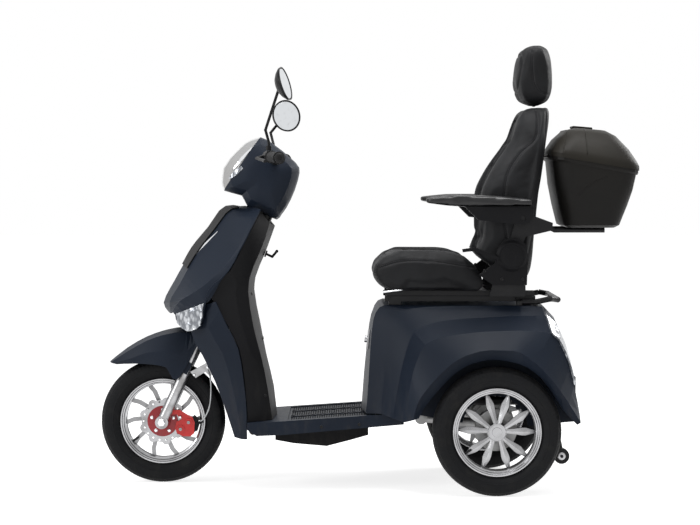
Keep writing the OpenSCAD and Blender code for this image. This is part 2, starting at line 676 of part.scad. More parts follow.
module belly_pan() {
    b = tyre_r - 202;
    xa = rear_x - 700;
    xb = rear_x - 400;
    color("black") {
        difference() {
            side_plate([[xa, 150 + b], [xa + 60, 139 + b], [xa + 166, 130 + b], [xa + 240, 149 + b],
                [xb, 166 + b], [xb, under(xb)], [xa, under(xa)]], -118, 118);
            side_plate([[xa + 4, 154 + b], [xa + 60, 143 + b], [xa + 166, 134 + b], [xa + 240, 153 + b],
                [xb - 4, 170 + b], [xb - 4, 300], [xa + 4, 300]], -114, 114);
        }
        // Flanges on the inner sides of the rails
        both() side_plate([[xa, under(xa)], [xb, under(xb)], [xb, under(xb) - 4], [xa, under(xa) - 4]],
            116, 150 - rail_r - fit);
    }
}
module rear_axle() {
    color("gray") translate(rr([0, 0, 0])) spin_y() {
        cylinder(r = 74, h = 130, center = true);
        cylinder(r = 62, h = 160, center = true);
        cylinder(r = 24, h = 2 * (track / 2 - 62), center = true);
        cylinder(r = axle_r, h = 2 * (track / 2 + 8), center = true);
        for (s = [-1, 1]) translate([0, 0, s * (track / 2 - 52)])
            cylinder(r = 66, h = 32, center = true);
    }
    // Trailing arms from the frame rails to the axle tube
    color("black") both() translate(rr([0, 120, 0])) {
        rod([-230, 0, 20], [0, 0, 0], 14);
        translate([-230, 15, 20]) spin_y() cylinder(r = 20, h = 30);
    }
}
module rear_shocks() {
    color("gray") both() {
        a = rr([34, 205, 30]);
        b = rr([100, 205, 300]);
        d = unit(b - a);
        rod(a, b, 8);
        for (i = [0:8]) rod(a + d * (70 + i * 20), a + d * (80 + i * 20), 22);
        translate(a) spin_y() cylinder(r = 13, h = 24, center = true);
        translate(b) spin_y() cylinder(r = 13, h = 24, center = true);
    }
}
tip = [rear_x + 220, 150, 103];
module tip_arms() {
    color("black") both() {
        rod([rear_x + 190, 130, tyre_r + 60], [tip[0], 130, tip[2] + 8], 9);
        translate([tip[0], 130, tip[2]]) spin_y() cylinder(r = 12, h = 12, center = true);
        translate([tip[0], tip[1], tip[2]]) spin_y() cylinder(r = 5, h = 44, center = true);
    }
}
module tip_roller(s) {
    color("dimgray") translate([tip[0], s * (tip[1] + 2), tip[2]]) spin_y() difference() {
        cylinder(r = 25, h = 20, center = true);
        cylinder(r = 5 + fit, h = 30, center = true);
    }
}
module tip_roller_left() { tip_roller(-1); }
module tip_roller_right() { tip_roller(1); }

// Seat

rail_x0 = rear_x - 348;
rail_y = 172;
rail_z0 = deck_z + 12;
seat_z = rail_z0 + 34;
module slide_rails() {
    color("black") both() {
        for (x = [12, rail_l - 52]) translate([rail_x0 + x, rail_y - 15, deck_z + fit]) cube([40, 30, 13]);
        difference() {
            translate([rail_x0, rail_y - 15, rail_z0]) cube([rail_l, 30, 17]);
            translate([rail_x0 - 1, rail_y - 11, rail_z0 + 5]) cube([rail_l + 2, 22, 8]);
            translate([rail_x0 - 1, rail_y - 5, rail_z0 + 5]) cube([rail_l + 2, 10, 20]);
        }
    }
}
pivot = [rear_x + pivot_x, 0, deck_z + pivot_h];
cover_y = cushion_w + 9;
module seat_frame() {
    color("black") {
        both() {
            // Slide foot in the rail, upper rail and seat side tube
            translate([rail_x0 + 62, rail_y - 10, rail_z0 + 5 + fit]) cube([rail_l - 130, 20, 7]);
            translate([rail_x0 + 62, rail_y - 4, rail_z0 + 6]) cube([rail_l - 130, 8, 20]);
            translate([rail_x0 + 4, rail_y - 16, rail_z0 + 18]) cube([rail_l - 8, 32, 16]);
            // Bracket and plate that carry the recliner
            translate([pivot[0] - 50, rail_y, rail_z0 + 19]) cube([90, cover_y - rail_y + 1, 12]);
            difference() {
                side_plate([[pivot[0] - 70, rail_z0 + 19], [pivot[0] + 42, rail_z0 + 19], [pivot[0] + 44, pivot[2] - 20],
                    [pivot[0] + 26, pivot[2] + 26], [pivot[0] - 26, pivot[2] + 26], [pivot[0] - 44, pivot[2] - 20]],
                    cover_y, cover_y + 5);
                translate([pivot[0], cover_y - 1, pivot[2]]) rotate([-90, 0, 0]) cylinder(r = 12 + fit, h = 20);
            }
        }
        for (x = [40, 300]) translate([rail_x0 + x, -rail_y, rail_z0 + 22]) cube([30, 2 * rail_y, 10]);
    }
}
// Cushion with raised side bolsters, as cross sections from side to side
module seat_cushion() {
    z0 = seat_z;
    x0 = rear_x - 396;
    x1 = rear_x - 72;
    function section(y, dx, top, sag) = [for (p = [
        [x0 + 60 + dx, z0 + fit], [x0 + 20 + dx, z0 + 22], [x0 + dx, z0 + 58], [x0 + 8 + dx, z0 + 88],
        [x0 + 40 + dx, z0 + top - 16], [x0 + 100, z0 + top - sag], [x0 + 190, z0 + top - sag - 6],
        [x0 + 260, z0 + top - sag - 10], [x1 - 20, z0 + top - 20], [x1 + 10, z0 + top - 50], [x1 + 38, z0 + 40],
        [x1 + 40, z0 + 12], [x1 + 22, z0 + fit], [x0 + 190, z0 + fit]]) [p[0], y, p[1]]];
    half = [section(cushion_w, 34, 96, 6), section(cushion_w - 8, 16, 116, 2), section(cushion_w - 34, 4, 128, 0),
        section(cushion_w - 70, 0, 130, 4), section(cushion_w - 100, 0, 124, 14), section(60, 0, 122, 20)];
    color("black") skin([for (h = half) [for (p = h) flip_y(p)], for (i = [5:-1:0]) half[i]]);
}
module recliner_covers() {
    color("dimgray") both() {
        y0 = cover_y + 5 + fit;
        side_plate([[pivot[0] - 104, pivot[2] - 60], [pivot[0] - 54, pivot[2] - 22], [pivot[0] - 41, pivot[2] + 31],
            [pivot[0] - 22, pivot[2] + 52], [pivot[0] + 20, pivot[2] + 56], [pivot[0] + 46, pivot[2] + 34],
            [pivot[0] + 50, pivot[2] - 10], [pivot[0] + 47, pivot[2] - 92], [pivot[0] - 60, pivot[2] - 92]], y0, y0 + 9);
        translate([pivot[0], y0 + 9, pivot[2]]) rotate([-90, 0, 0]) cylinder(r1 = 50, r2 = 42, h = 7);
    }
    // Recliner lever on the left
    color("black") translate([0, -cover_y - 22, 0]) side_plate([[pivot[0] - 158, pivot[2] + 22], [pivot[0] - 118, pivot[2] + 28],
        [pivot[0] - 40, pivot[2] - 4], [pivot[0] - 44, pivot[2] - 14], [pivot[0] - 120, pivot[2] + 16],
        [pivot[0] - 156, pivot[2] + 12]], -3, 4);
}
back_y = cushion_w - 2;
arm_pivot = [pivot[0] + 32, 0, pivot[2] + 120];
rack_z = pivot[2] + 92;
rack_x = pivot[0] + 118;
module back_frame() {
    color("black") {
        both() {
            // Side plate with the recliner pin and the armrest pin
            side_plate([[pivot[0] - 14, pivot[2] - 16], [pivot[0] + 14, pivot[2] - 16], [pivot[0] + 44, pivot[2] + 60],
                [rack_x + 10, rack_z - 12], [rack_x + 12, rack_z + 12], [pivot[0] + 54, rack_z + 40],
                [arm_pivot[0] - 16, arm_pivot[2] + 14], [arm_pivot[0] - 20, arm_pivot[2] - 8], [pivot[0] - 16, pivot[2] + 10]],
                back_y + fit, back_y + 6);
            translate([pivot[0], back_y + 2, pivot[2]]) rotate([-90, 0, 0]) cylinder(r = 12, h = cover_y + 3 - back_y);
            translate([arm_pivot[0], back_y + 2, arm_pivot[2]]) rotate([-90, 0, 0]) cylinder(r = 8, h = 54);
        }
        // Rack from the side plates to the case
        rod([rack_x, -back_y - 3, rack_z], [rack_x, back_y + 3, rack_z], 9);
        both() {
            rod([rack_x, 110, rack_z], [rack_x + 30, 110, rack_z - 14], 8);
            rod([rack_x + 30, 110, rack_z - 14], [rack_x + 190, 110, rack_z - 14], 8);
            translate([rack_x + 30, 110, rack_z - 14]) sphere(8);
        }
    }
}
// Backrest as level sections: height, front of the bolsters, front of the
// middle, back, half width
back_rows = [[-98, 6, 10, 36, 190], [-88, -10, 4, 50, 220], [-50, -50, -20, 72, 233], [5, -118, -72, 80, 236],
    [60, -100, -60, 84, 236], [120, -98, -46, 90, 236], [197, -95, -30, 98, 232], [240, -78, -14, 106, 224],
    [293, -46, 2, 114, 212], [379, 14, 34, 126, 190], [430, 28, 44, 134, 166], [462, 38, 48, 136, 140], [478, 54, 58, 126, 120]];
module seat_back() {
    color("black") skin([for (r = fair(back_rows, 2))
        let (z = pivot[2] + r[0], f = r[1], c = r[2], b = r[3], w = r[4])
        [for (p = concat(
            [[b, 0], [b - 2, w * 0.5], [b - 10, w * 0.85], [b - 34, w], [(b + f) / 2, w], [f + 30, w], [f + 8, w * 0.96],
                [f, w * 0.84], [f + 8, w * 0.68], [c, w * 0.5], [c + 2, 0]],
            [[c, -w * 0.5], [f + 8, -w * 0.68], [f, -w * 0.84], [f + 8, -w * 0.96], [f + 30, -w],
                [(b + f) / 2, -w], [b - 34, -w], [b - 10, -w * 0.85], [b - 2, -w * 0.5]]))
            [pivot[0] + p[0], p[1], z]]]);
}
// Headrest as level sections: height, front, back, half width
head_rows = [[486, 60, 118, 70], [492, 40, 132, 100], [520, 28, 142, 122], [556, 24, 144, 128], [600, 40, 138, 126],
    [640, 56, 128, 118], [664, 70, 120, 100], [674, 84, 108, 70]];
module headrest() {
    color("black") {
        skin([for (r = fair(head_rows, 2))
            [for (p = [[r[2], 0], [r[2] - 3, r[3] * 0.6], [r[2] - 18, r[3] * 0.94], [(r[1] + r[2]) / 2, r[3]],
                [r[1] + 14, r[3] * 0.94], [r[1], r[3] * 0.6], [r[1] + 4, 0], [r[1], -r[3] * 0.6], [r[1] + 14, -r[3] * 0.94],
                [(r[1] + r[2]) / 2, -r[3]], [r[2] - 18, -r[3] * 0.94], [r[2] - 3, -r[3] * 0.6]])
                [pivot[0] + p[0], p[1], pivot[2] + r[0]]]]);
        both() translate([pivot[0] + 92, 55, pivot[2] + 478 + fit]) cylinder(r = 6, h = 12);
    }
}
// Armrest: rigid arm with a padded top, turned up about its pin
module armrest(s) {
    y0 = back_y + 9;
    color("black") difference() {
        union() {
            hull() {
                translate([arm_pivot[0] - arm_l, s * (y0 + arm_w / 2), arm_pivot[2] + 46])
                    cylinder(r = arm_w / 2 - 4, h = 18, $fn = 24);
                translate([arm_pivot[0] - arm_l + 90, s * (y0 + arm_w / 2), arm_pivot[2] + 38])
                    cylinder(r = arm_w / 2, h = 34, $fn = 24);
                translate([arm_pivot[0] + 10, s * (y0 + arm_w / 2) - arm_w / 2 + 2, arm_pivot[2] + 34])
                    cube([20, arm_w - 4, 26]);
            }
            side_plate([[arm_pivot[0] - 190, arm_pivot[2] + 44], [arm_pivot[0] - 140, arm_pivot[2] - 6],
                [arm_pivot[0] - 20, arm_pivot[2] - 20], [arm_pivot[0] + 18, arm_pivot[2] - 16], [arm_pivot[0] + 30, arm_pivot[2] + 6],
                [arm_pivot[0] + 30, arm_pivot[2] + 50], [arm_pivot[0] - 190, arm_pivot[2] + 50]],
                s > 0 ? y0 + 4 : -y0 - arm_w + 6, s > 0 ? y0 + arm_w - 6 : -y0 - 4);
        }
        translate([arm_pivot[0], s * (y0 - 8), arm_pivot[2]]) rotate([s * -90, 0, 0])
            cylinder(r = 8 + fit, h = 60);
    }
}
module armrest_left() { armrest(-1); }
module armrest_right() { armrest(1); }

// Top case

case_x = rack_x + 20;
rim_h = 237;
rim_drop = 0.17;
// Barrels of the lid's hinge: s is 1 for the two on the tub, 0 for the one on the lid
hinge = [case_x - 7, 0, rack_z + rim_h - 12.7];
module hinge_barrels(s, r, more) {
    for (y = s ? [-45, 45] : [0]) translate(hinge + [0, y, 0]) rotate([90, 0, 0])
        cylinder(r = r, h = (s ? 30 : 58) + more, center = true);
}
// Level ring of a box with round corners, sloped to the rear
function case_ring(x0, x1, w, r, z, drop, d) = [for (c = [
    [x1 - r, w - r, 0], [x0 + r, w - r, 90], [x0 + r, -w + r, 180], [x1 - r, -w + r, 270]])
    for (a = [0:22.5:90]) let (q = r - d, x = c[0] + q * cos(c[2] + a))
        [case_x + x, c[1] + q * sin(c[2] + a), rack_z - 6 + fit + z - drop * x]];
module tub_form(d, up) {
    cw = case_w;
    skin([case_ring(52, 200, cw * 0.72, 30, 0 + up, 0, d), case_ring(36, 216, cw * 0.8, 44, 8 + up, 0, d),
        case_ring(20, 240, cw * 0.88, 50, 76, 0.02, d), case_ring(8, 256, cw * 0.93, 52, 140, 0.08, d),
        case_ring(0, 268, cw * 0.97, 52, rim_h - 14 + (up > 0 ? 20 : 0), rim_drop, d)]);
}
module case_tub() {
    color("dimgray") {
        difference() {
            tub_form(0, 0);
            tub_form(case_wall, case_wall);
        }
        hinge_barrels(1, 5, 0);
        // Rolled rim
        difference() {
            skin([case_ring(-2, 270, case_w * 0.98, 54, rim_h - 22, rim_drop, 0), case_ring(-5, 273, case_w, 56, rim_h - 16, rim_drop, 0),
                case_ring(-5, 273, case_w, 56, rim_h - 8, rim_drop, 0)]);
            tub_form(case_wall, case_wall);
            hinge_barrels(0, 5 + 2 * fit, 4 * fit);
        }
    }
}
module lid_form(d, k) {
    cw = case_w;
    skin([case_ring(-6, 276, cw + 1, 56, rim_h - 8 + (k > 0 ? -10 : fit), rim_drop, d),
        case_ring(-6, 276, cw + 1, 56, rim_h + 6, rim_drop, d), case_ring(2, 268, cw - 6, 56, rim_h + 22, rim_drop, d),
        case_ring(18, 246, cw - 26, 60, rim_h + lid_h * 0.62 - k, rim_drop * 0.9, d),
        case_ring(48, 206, cw - 62, 50, rim_h + lid_h - k, rim_drop * 0.7, d),
        case_ring(76, 176, cw - 100, 40, rim_h + lid_h + 8 - k, rim_drop * 0.5, d)]);
}
module case_lid() {
    color("dimgray") {
        difference() {
            lid_form(0, 0);
            lid_form(case_wall, case_wall);
            hinge_barrels(1, 5 + 2 * fit, 4 * fit);
        }
        hinge_barrels(0, 5, 0);
        // Catch at the rear
        translate([case_x + 273.5, -24, rack_z + rim_h - 62]) cube([10, 48, 26]);
    }
}

frame();
footboard();
belly_pan();
front_cowl();
nose_trim();
front_signals();
leg_shield();
knee_panel();
bag_hook();
rear_body();
body_latch();
tail_lamps();
grab_rail();
rear_panel_plate();
batteries();
rear_axle();
rear_shocks();
slide_rails();
tip_arms();
fork();
front_mudguard();
brake_caliper();
handlebar();
grips();
head_cowl();
headlamp();
mirrors();
mirror_glass();
front_tyre();
front_rim();
brake_disc();
tyre_left();
rim_left();
tyre_right();
rim_right();
tip_roller_left();
tip_roller_right();
seat_frame();
seat_cushion();
recliner_covers();
back_frame();
seat_back();
headrest();
case_tub();
armrest_left();
armrest_right();
case_lid();
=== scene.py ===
import json
import math

import bmesh
import bpy
import numpy as np
from mathutils import Matrix, Vector
from mathutils.bvhtree import BVHTree


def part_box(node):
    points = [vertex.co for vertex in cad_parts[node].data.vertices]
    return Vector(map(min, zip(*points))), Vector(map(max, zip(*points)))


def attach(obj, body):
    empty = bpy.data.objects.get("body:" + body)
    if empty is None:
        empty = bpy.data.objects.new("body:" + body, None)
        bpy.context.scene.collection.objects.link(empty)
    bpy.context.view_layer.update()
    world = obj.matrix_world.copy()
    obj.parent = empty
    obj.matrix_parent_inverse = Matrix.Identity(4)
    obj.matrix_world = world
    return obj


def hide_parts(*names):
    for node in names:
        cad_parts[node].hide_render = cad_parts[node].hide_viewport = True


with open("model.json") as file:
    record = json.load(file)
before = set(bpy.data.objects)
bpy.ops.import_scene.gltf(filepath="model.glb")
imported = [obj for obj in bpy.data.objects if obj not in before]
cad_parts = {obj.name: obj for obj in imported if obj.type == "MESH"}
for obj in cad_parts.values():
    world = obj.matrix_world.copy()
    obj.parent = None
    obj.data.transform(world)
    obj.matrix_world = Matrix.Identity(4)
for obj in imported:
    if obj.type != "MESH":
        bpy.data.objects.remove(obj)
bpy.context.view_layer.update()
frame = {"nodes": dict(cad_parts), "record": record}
nodes = frame["nodes"]

# Camera at the photograph's angle
# A long lens at chest height, seven metres off the left side, tipped down a little.
scene = bpy.context.scene
camera_data = bpy.data.cameras.new("camera")
camera_data.lens = 113.3
camera_data.sensor_width = 36
camera = bpy.data.objects.new("camera", camera_data)
camera.location = (-0.059, -7.2, 1.0)
camera.rotation_euler = (math.radians(90 - 2.24), 0, 0)
scene.collection.objects.link(camera)
scene.camera = camera
scene.view_settings.view_transform = "Standard"


# Studio floor, backdrop and light
# A white paper floor under three wide soft lamps. Paper and air look white to the eye and to
# chrome, and light the scooter itself only a little.
def only_seen(tree, unseen, seen):
    """A strength that is one value for light and another for the eye, for gloss and through glass."""
    path = tree.nodes.new("ShaderNodeLightPath")
    first = tree.nodes.new("ShaderNodeMath")
    first.operation = "MAXIMUM"
    tree.links.new(path.outputs["Is Camera Ray"], first.inputs[0])
    tree.links.new(path.outputs["Is Glossy Ray"], first.inputs[1])
    second = tree.nodes.new("ShaderNodeMath")
    second.operation = "MAXIMUM"
    tree.links.new(first.outputs[0], second.inputs[0])
    tree.links.new(path.outputs["Is Transmission Ray"], second.inputs[1])
    strength = tree.nodes.new("ShaderNodeMix")
    strength.data_type = "FLOAT"
    strength.inputs["A"].default_value = unseen
    strength.inputs["B"].default_value = seen
    tree.links.new(second.outputs[0], strength.inputs["Factor"])
    return strength.outputs["Result"]


floor_mesh = bpy.data.meshes.new("studio_floor")
floor_mesh.from_pydata([(-30, -30, 0), (30, -30, 0), (30, 30, 0), (-30, 30, 0)], [], [(0, 1, 2, 3)])
floor = bpy.data.objects.new("studio_floor", floor_mesh)
scene.collection.objects.link(floor)
paper = bpy.data.materials.new("studio_paper")
paper.use_nodes = True
paper_nodes = paper.node_tree.nodes
paper_links = paper.node_tree.links
paper_nodes.clear()
paper_out = paper_nodes.new("ShaderNodeOutputMaterial")
paper_face = paper_nodes.new("ShaderNodeBsdfDiffuse")
paper_face.inputs["Color"].default_value = (0.7, 0.7, 0.7, 1)
paper_glow = paper_nodes.new("ShaderNodeEmission")
paper_glow.inputs["Color"].default_value = (1, 1, 1, 1)
paper_links.new(only_seen(paper.node_tree, 0.0, 0.76), paper_glow.inputs["Strength"])
paper_sum = paper_nodes.new("ShaderNodeAddShader")
paper_links.new(paper_face.outputs[0], paper_sum.inputs[0])
paper_links.new(paper_glow.outputs[0], paper_sum.inputs[1])
paper_links.new(paper_sum.outputs[0], paper_out.inputs["Surface"])
floor_mesh.materials.append(paper)

world = bpy.data.worlds.new("studio_air")
scene.world = world
world.use_nodes = True
air = world.node_tree.nodes["Background"]
air.inputs["Color"].default_value = (1, 1, 1, 1)
world.node_tree.links.new(only_seen(world.node_tree, 0.38, 1.0), air.inputs["Strength"])


def lamp(name, place, aim, width, height, watts):
    data = bpy.data.lights.new(name, "AREA")
    data.shape = "RECTANGLE"
    data.size = width
    data.size_y = height
    data.energy = watts
    light = bpy.data.objects.new(name, data)
    light.location = place
    light.rotation_euler = (Vector(aim) - Vector(place)).to_track_quat("-Z", "Y").to_euler()
    scene.collection.objects.link(light)


lamp("lamp_over", (0.2, -0.6, 4.2), (0, 0, 0.6), 3.0, 1.6, 125)
lamp("lamp_front", (-4.0, -2.2, 2.0), (-0.3, 0, 0.6), 1.2, 2.4, 75)
lamp("lamp_back", (3.4, 2.6, 2.6), (0, 0, 0.7), 2.0, 1.6, 70)


# Moulded outer panels
# The cowl, leg shield, mudguards, head cowl, footboard and rear body are injection-moulded
# plastic in a satin blue-black, with a fine spark grain and a small radius on every edge.
class Amount:
    """A socket that takes part in sums."""

    def __init__(self, finish, socket):
        self.finish = finish
        self.socket = socket

    def sum_with(self, operation, first, second):
        return self.finish.node("ShaderNodeMath", {"operation": operation}, {0: first, 1: second})

    def __add__(self, other):
        return self.sum_with("ADD", self, other)

    def __radd__(self, other):
        return self.sum_with("ADD", other, self)

    def __sub__(self, other):
        return self.sum_with("SUBTRACT", self, other)

    def __rsub__(self, other):
        return self.sum_with("SUBTRACT", other, self)

    def __mul__(self, other):
        return self.sum_with("MULTIPLY", self, other)

    def __rmul__(self, other):
        return self.sum_with("MULTIPLY", other, self)

    def __truediv__(self, other):
        return self.sum_with("DIVIDE", self, other)

    def __pow__(self, other):
        return self.sum_with("POWER", self, other)

    def __gt__(self, other):
        return self.sum_with("GREATER_THAN", self, other)

    def __lt__(self, other):
        return self.sum_with("LESS_THAN", self, other)

    def __abs__(self):
        return self.sum_with("ABSOLUTE", self, 0.0)

    def wave(self):
        return self.sum_with("SINE", self, 0.0)

    def fraction(self):
        return self.sum_with("FRACT", self, 0.0)

    def angle_over(self, other):
        return self.sum_with("ARCTAN2", self, other)

    def step(self, start, end):
        """0 below start, 1 above end, and smooth between them."""
        return self.finish.node(
            "ShaderNodeMapRange",
            {"interpolation_type": "SMOOTHSTEP"},
            {"Value": self, "From Min": start, "From Max": end},
        )

    def between(self, start, end, soft):
        """1 from start to end, and 0 outside."""
        return self.step(start - soft, start) * (1.0 - self.step(end, end + soft))


class Finish:
    """One material, with its Principled shader and the nodes that feed it."""

    def __init__(self, name, colour, roughness, **constants):
        self.material = bpy.data.materials.new(name)
        self.material.use_nodes = True
        self.tree = self.material.node_tree
        self.shader = self.tree.nodes["Principled BSDF"]
        self.feed("Base Color", colour)
        self.feed("Roughness", roughness)
        for socket, value in constants.items():
            self.feed(socket.replace("_", " "), value)
        self.place = self.node("ShaderNodeTexCoord", out="Object")

    def feed(self, socket, value, shader=None):
        target = (shader or self.shader).inputs[socket]
        if isinstance(value, Amount):
            self.tree.links.new(value.socket, target)
        elif isinstance(value, tuple) and target.type == "RGBA":
            target.default_value = (*value, 1)
        else:
            target.default_value = value

    def node(self, kind, settings=None, sockets=None, out=0):
        made = self.tree.nodes.new(kind)
        for name, value in (settings or {}).items():
            setattr(made, name, value)
        for name, value in (sockets or {}).items():
            self.feed(name, value, made)
        return Amount(self, made.outputs[out])

    def moved(self, scale=(1, 1, 1), shift=(0, 0, 0), turn=(0, 0, 0)):
        return self.node(
            "ShaderNodeMapping", None, {"Vector": self.place, "Scale": scale, "Location": shift, "Rotation": turn}
        )

    def noise(self, scale, detail=2.0, stretch=(1, 1, 1), seed=0.0):
        where = self.moved(stretch, (seed, seed, seed))
        return self.node("ShaderNodeTexNoise", None, {"Vector": where, "Scale": scale, "Detail": detail})

    def cells(self, scale, feature="F1", stretch=(1, 1, 1)):
        settings = {"feature": feature}
        return self.node(
            "ShaderNodeTexVoronoi", settings, {"Vector": self.moved(stretch), "Scale": scale}, out="Distance"
        )

    def axis(self, name):
        return self.node("ShaderNodeSeparateXYZ", None, {0: self.place}, out=name)

    def blend(self, first, second, share):
        mixed = self.tree.nodes.new("ShaderNodeMix")
        mixed.data_type = "RGBA"
        for socket, value in ((6, first), (7, second), (0, share)):
            if isinstance(value, Amount):
                self.tree.links.new(value.socket, mixed.inputs[socket])
            elif isinstance(value, tuple):
                mixed.inputs[socket].default_value = (*value, 1)
            else:
                mixed.inputs[socket].default_value = value
        return Amount(self, mixed.outputs[2])

    def relief(self, height, strength, distance):
        sockets = {"Height": height, "Strength": strength, "Distance": distance}
        self.feed("Normal", self.node("ShaderNodeBump", None, sockets))


def moulded(name, colour, lighter, roughness, grain=0.3, speck=1400.0, gloss=0.12):
    """Moulded plastic: spark grain, faint cloudiness, and dust that settles low down."""
    finish = Finish(name, colour, roughness, Specular_IOR_Level=gloss)
    cloud = finish.noise(3.5, 3.0)
    fine = finish.noise(speck, 1.0)
    rub = finish.noise(38.0, 4.0, (1, 1, 0.35), 3.0)
    low = 1.0 - finish.axis("Z").step(0.16, 0.46)
    dust = low * rub.step(0.42, 0.75)
    tint = finish.blend(colour, lighter, cloud.step(0.35, 0.7) * 0.5 + fine.step(0.55, 0.75) * 0.3)
    finish.feed("Base Color", finish.blend(tint, (0.07, 0.066, 0.062), dust * 0.2))
    finish.feed("Roughness", roughness - 0.05 + fine * 0.09 + rub * 0.05 + dust * 0.08)
    finish.relief(fine, grain, 0.00035)
    return finish.material


body_with = {n: body for body, members in frame["record"]["behaviour"]["bodies"].items() for n in members}


def joined(name, piece_name):
    """A copy of a CAD node with its loose triangles joined, as an object of its own."""
    piece = bpy.data.objects.new(piece_name, nodes[name].data.copy())
    scene.collection.objects.link(piece)
    if "custom_normal" in piece.data.attributes:
        piece.data.attributes.remove(piece.data.attributes["custom_normal"])
    work = bmesh.new()
    work.from_mesh(piece.data)
    bmesh.ops.remove_doubles(work, verts=work.verts, dist=0.00005)
    flat = math.radians(0.4)
    bmesh.ops.dissolve_limit(work, angle_limit=flat, verts=work.verts, edges=work.edges)
    work.to_mesh(piece.data)
    work.free()
    return piece


def settle(piece):
    """Makes the piece's modifiers part of its mesh."""
    graph = bpy.context.evaluated_depsgraph_get()
    mesh = bpy.data.meshes.new_from_object(piece.evaluated_get(graph))
    piece.modifiers.clear()
    piece.data = mesh
    mesh.name = piece.name
    return piece


def paint(piece, material):
    piece.data.materials.clear()
    piece.data.materials.append(material)
    piece.data.polygons.foreach_set("material_index", [0] * len(piece.data.polygons))


def eased(piece, angle, width):
    """Smooth over its curves, with a small radius on the edges that turn more than the angle."""
    piece.data.polygons.foreach_set("use_smooth", [True] * len(piece.data.polygons))
    edge = piece.modifiers.new("edge_radius", "BEVEL")
    edge.width = width
    edge.segments = 2
    edge.limit_method = "ANGLE"
    edge.angle_limit = math.radians(angle)
    edge.harden_normals = True
    return settle(piece)


def stand_in(name, material, angle=24, width=0.0012):
    """An eased copy of a rigid CAD node in its real finish, shown in the node's place."""
    piece = eased(joined(name, name + "_moulding"), angle, width)
    paint(piece, material)
    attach(piece, body_with[name])
    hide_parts(name)
    return piece


def dress(material, *names):
    """Gives CAD nodes one finish, as they are."""
    for name in names:
        mesh = nodes[name].data
        mesh.materials.clear()
        mesh.materials.append(material)


panel_plastic = moulded("panel_plastic", (0.0072, 0.0112, 0.0200), (0.0125, 0.0188, 0.0320), 0.46, gloss=0.14)
for panel in ("front_cowl", "leg_shield", "front_mudguard", "rear_body"):
    stand_in(panel, panel_plastic, 10, 0.0014)
for panel in ("head_cowl", "footboard"):
    stand_in(panel, panel_plastic, 24, 0.0014)

# Inner panels
# The knee panel, belly pan, covers and clips are a plainer black plastic with a coarser
# leather-like texture from the mould, and no colour in it.
black_plastic = moulded("black_plastic", (0.0055, 0.0055, 0.0065), (0.0105, 0.0105, 0.0115), 0.52, 0.45, 900.0)
for panel in ("knee_panel", "nose_trim"):
    stand_in(panel, black_plastic, 18, 0.0012)
for panel in ("belly_pan", "bag_hook", "recliner_covers", "batteries", "rear_panel_plate"):
    stand_in(panel, black_plastic, 28, 0.0010)

# Painted steel
# The frame, seat frames, slides and rails are welded or pressed steel, powder-coated black,
# with the soft orange peel of the coating and grey rubbed patches.
coated = Finish("coated_steel", (0.008, 0.008, 0.009), 0.38, Specular_IOR_Level=0.2, Coat_Weight=0.04, Coat_Roughness=0.3)
peel = coated.noise(260.0, 2.0)
chalk = coated.noise(14.0, 4.0)
coated.feed("Base Color", coated.blend((0.006, 0.006, 0.007), (0.014, 0.014, 0.015), chalk.step(0.4, 0.75)))
coated.feed("Roughness", 0.30 + peel * 0.10 + chalk * 0.10)
coated.relief(peel, 0.3, 0.0006)
for part in ("slide_rails", "seat_frame", "back_frame", "handlebar", "tip_arms", "grab_rail"):
    stand_in(part, coated.material, 28, 0.0008)
dress(coated.material, "frame", "rear_shocks")

# Bare metal
# The fork, brake disc and axle are polished or machined aluminium and steel, with the fine
# lines of the lathe and a thin film of road dirt.
bare = Finish("bare_metal", (0.38, 0.38, 0.39), 0.3, Metallic=1.0)
lines = bare.noise(300.0, 2.0, (1, 1, 0.05))
film = bare.noise(22.0, 4.0, (1, 1, 1), 5.0)
bare.feed("Base Color", bare.blend((0.42, 0.42, 0.43), (0.16, 0.155, 0.15), film.step(0.4, 0.8) * 0.7))
bare.feed("Roughness", 0.22 + lines * 0.12 + film.step(0.4, 0.8) * 0.16)
bare.relief(lines, 0.12, 0.0002)
stand_in("fork", bare.material, 28, 0.001)
stand_in("body_latch", bare.material, 28, 0.001)
dress(bare.material, "brake_disc")
dull = Finish("cast_grey", (0.36, 0.36, 0.36), 0.5, Metallic=0.8)
sand = dull.noise(520.0, 2.0)
oil = dull.noise(18.0, 4.0)
dull.feed("Base Color", dull.blend((0.40, 0.40, 0.40), (0.14, 0.135, 0.13), oil.step(0.4, 0.75)))
dull.feed("Roughness", 0.42 + sand * 0.16)
dull.relief(sand, 0.4, 0.0006)
dress(dull.material, "rear_axle")

# Cast wheels
# The rims are cast aluminium, turned and lacquered: bright on the lips and the blades, and
# rougher and duller in the barrel where the casting was left as it came. The barrel's darker
# colour is painted shade, deep inside the wheel between the lips.
wheel_centres = {}
for wheel in ("front_tyre", "tyre_left", "tyre_right"):
    low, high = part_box(wheel)
    wheel_centres[wheel] = (low + high) / 2


def around(finish, centre):
    """Distance from a wheel's axle, and the angle round it."""
    x = finish.axis("X") - centre[0]
    z = finish.axis("Z") - centre[2]
    return (x * x + z * z) ** 0.5, z.angle_over(x)


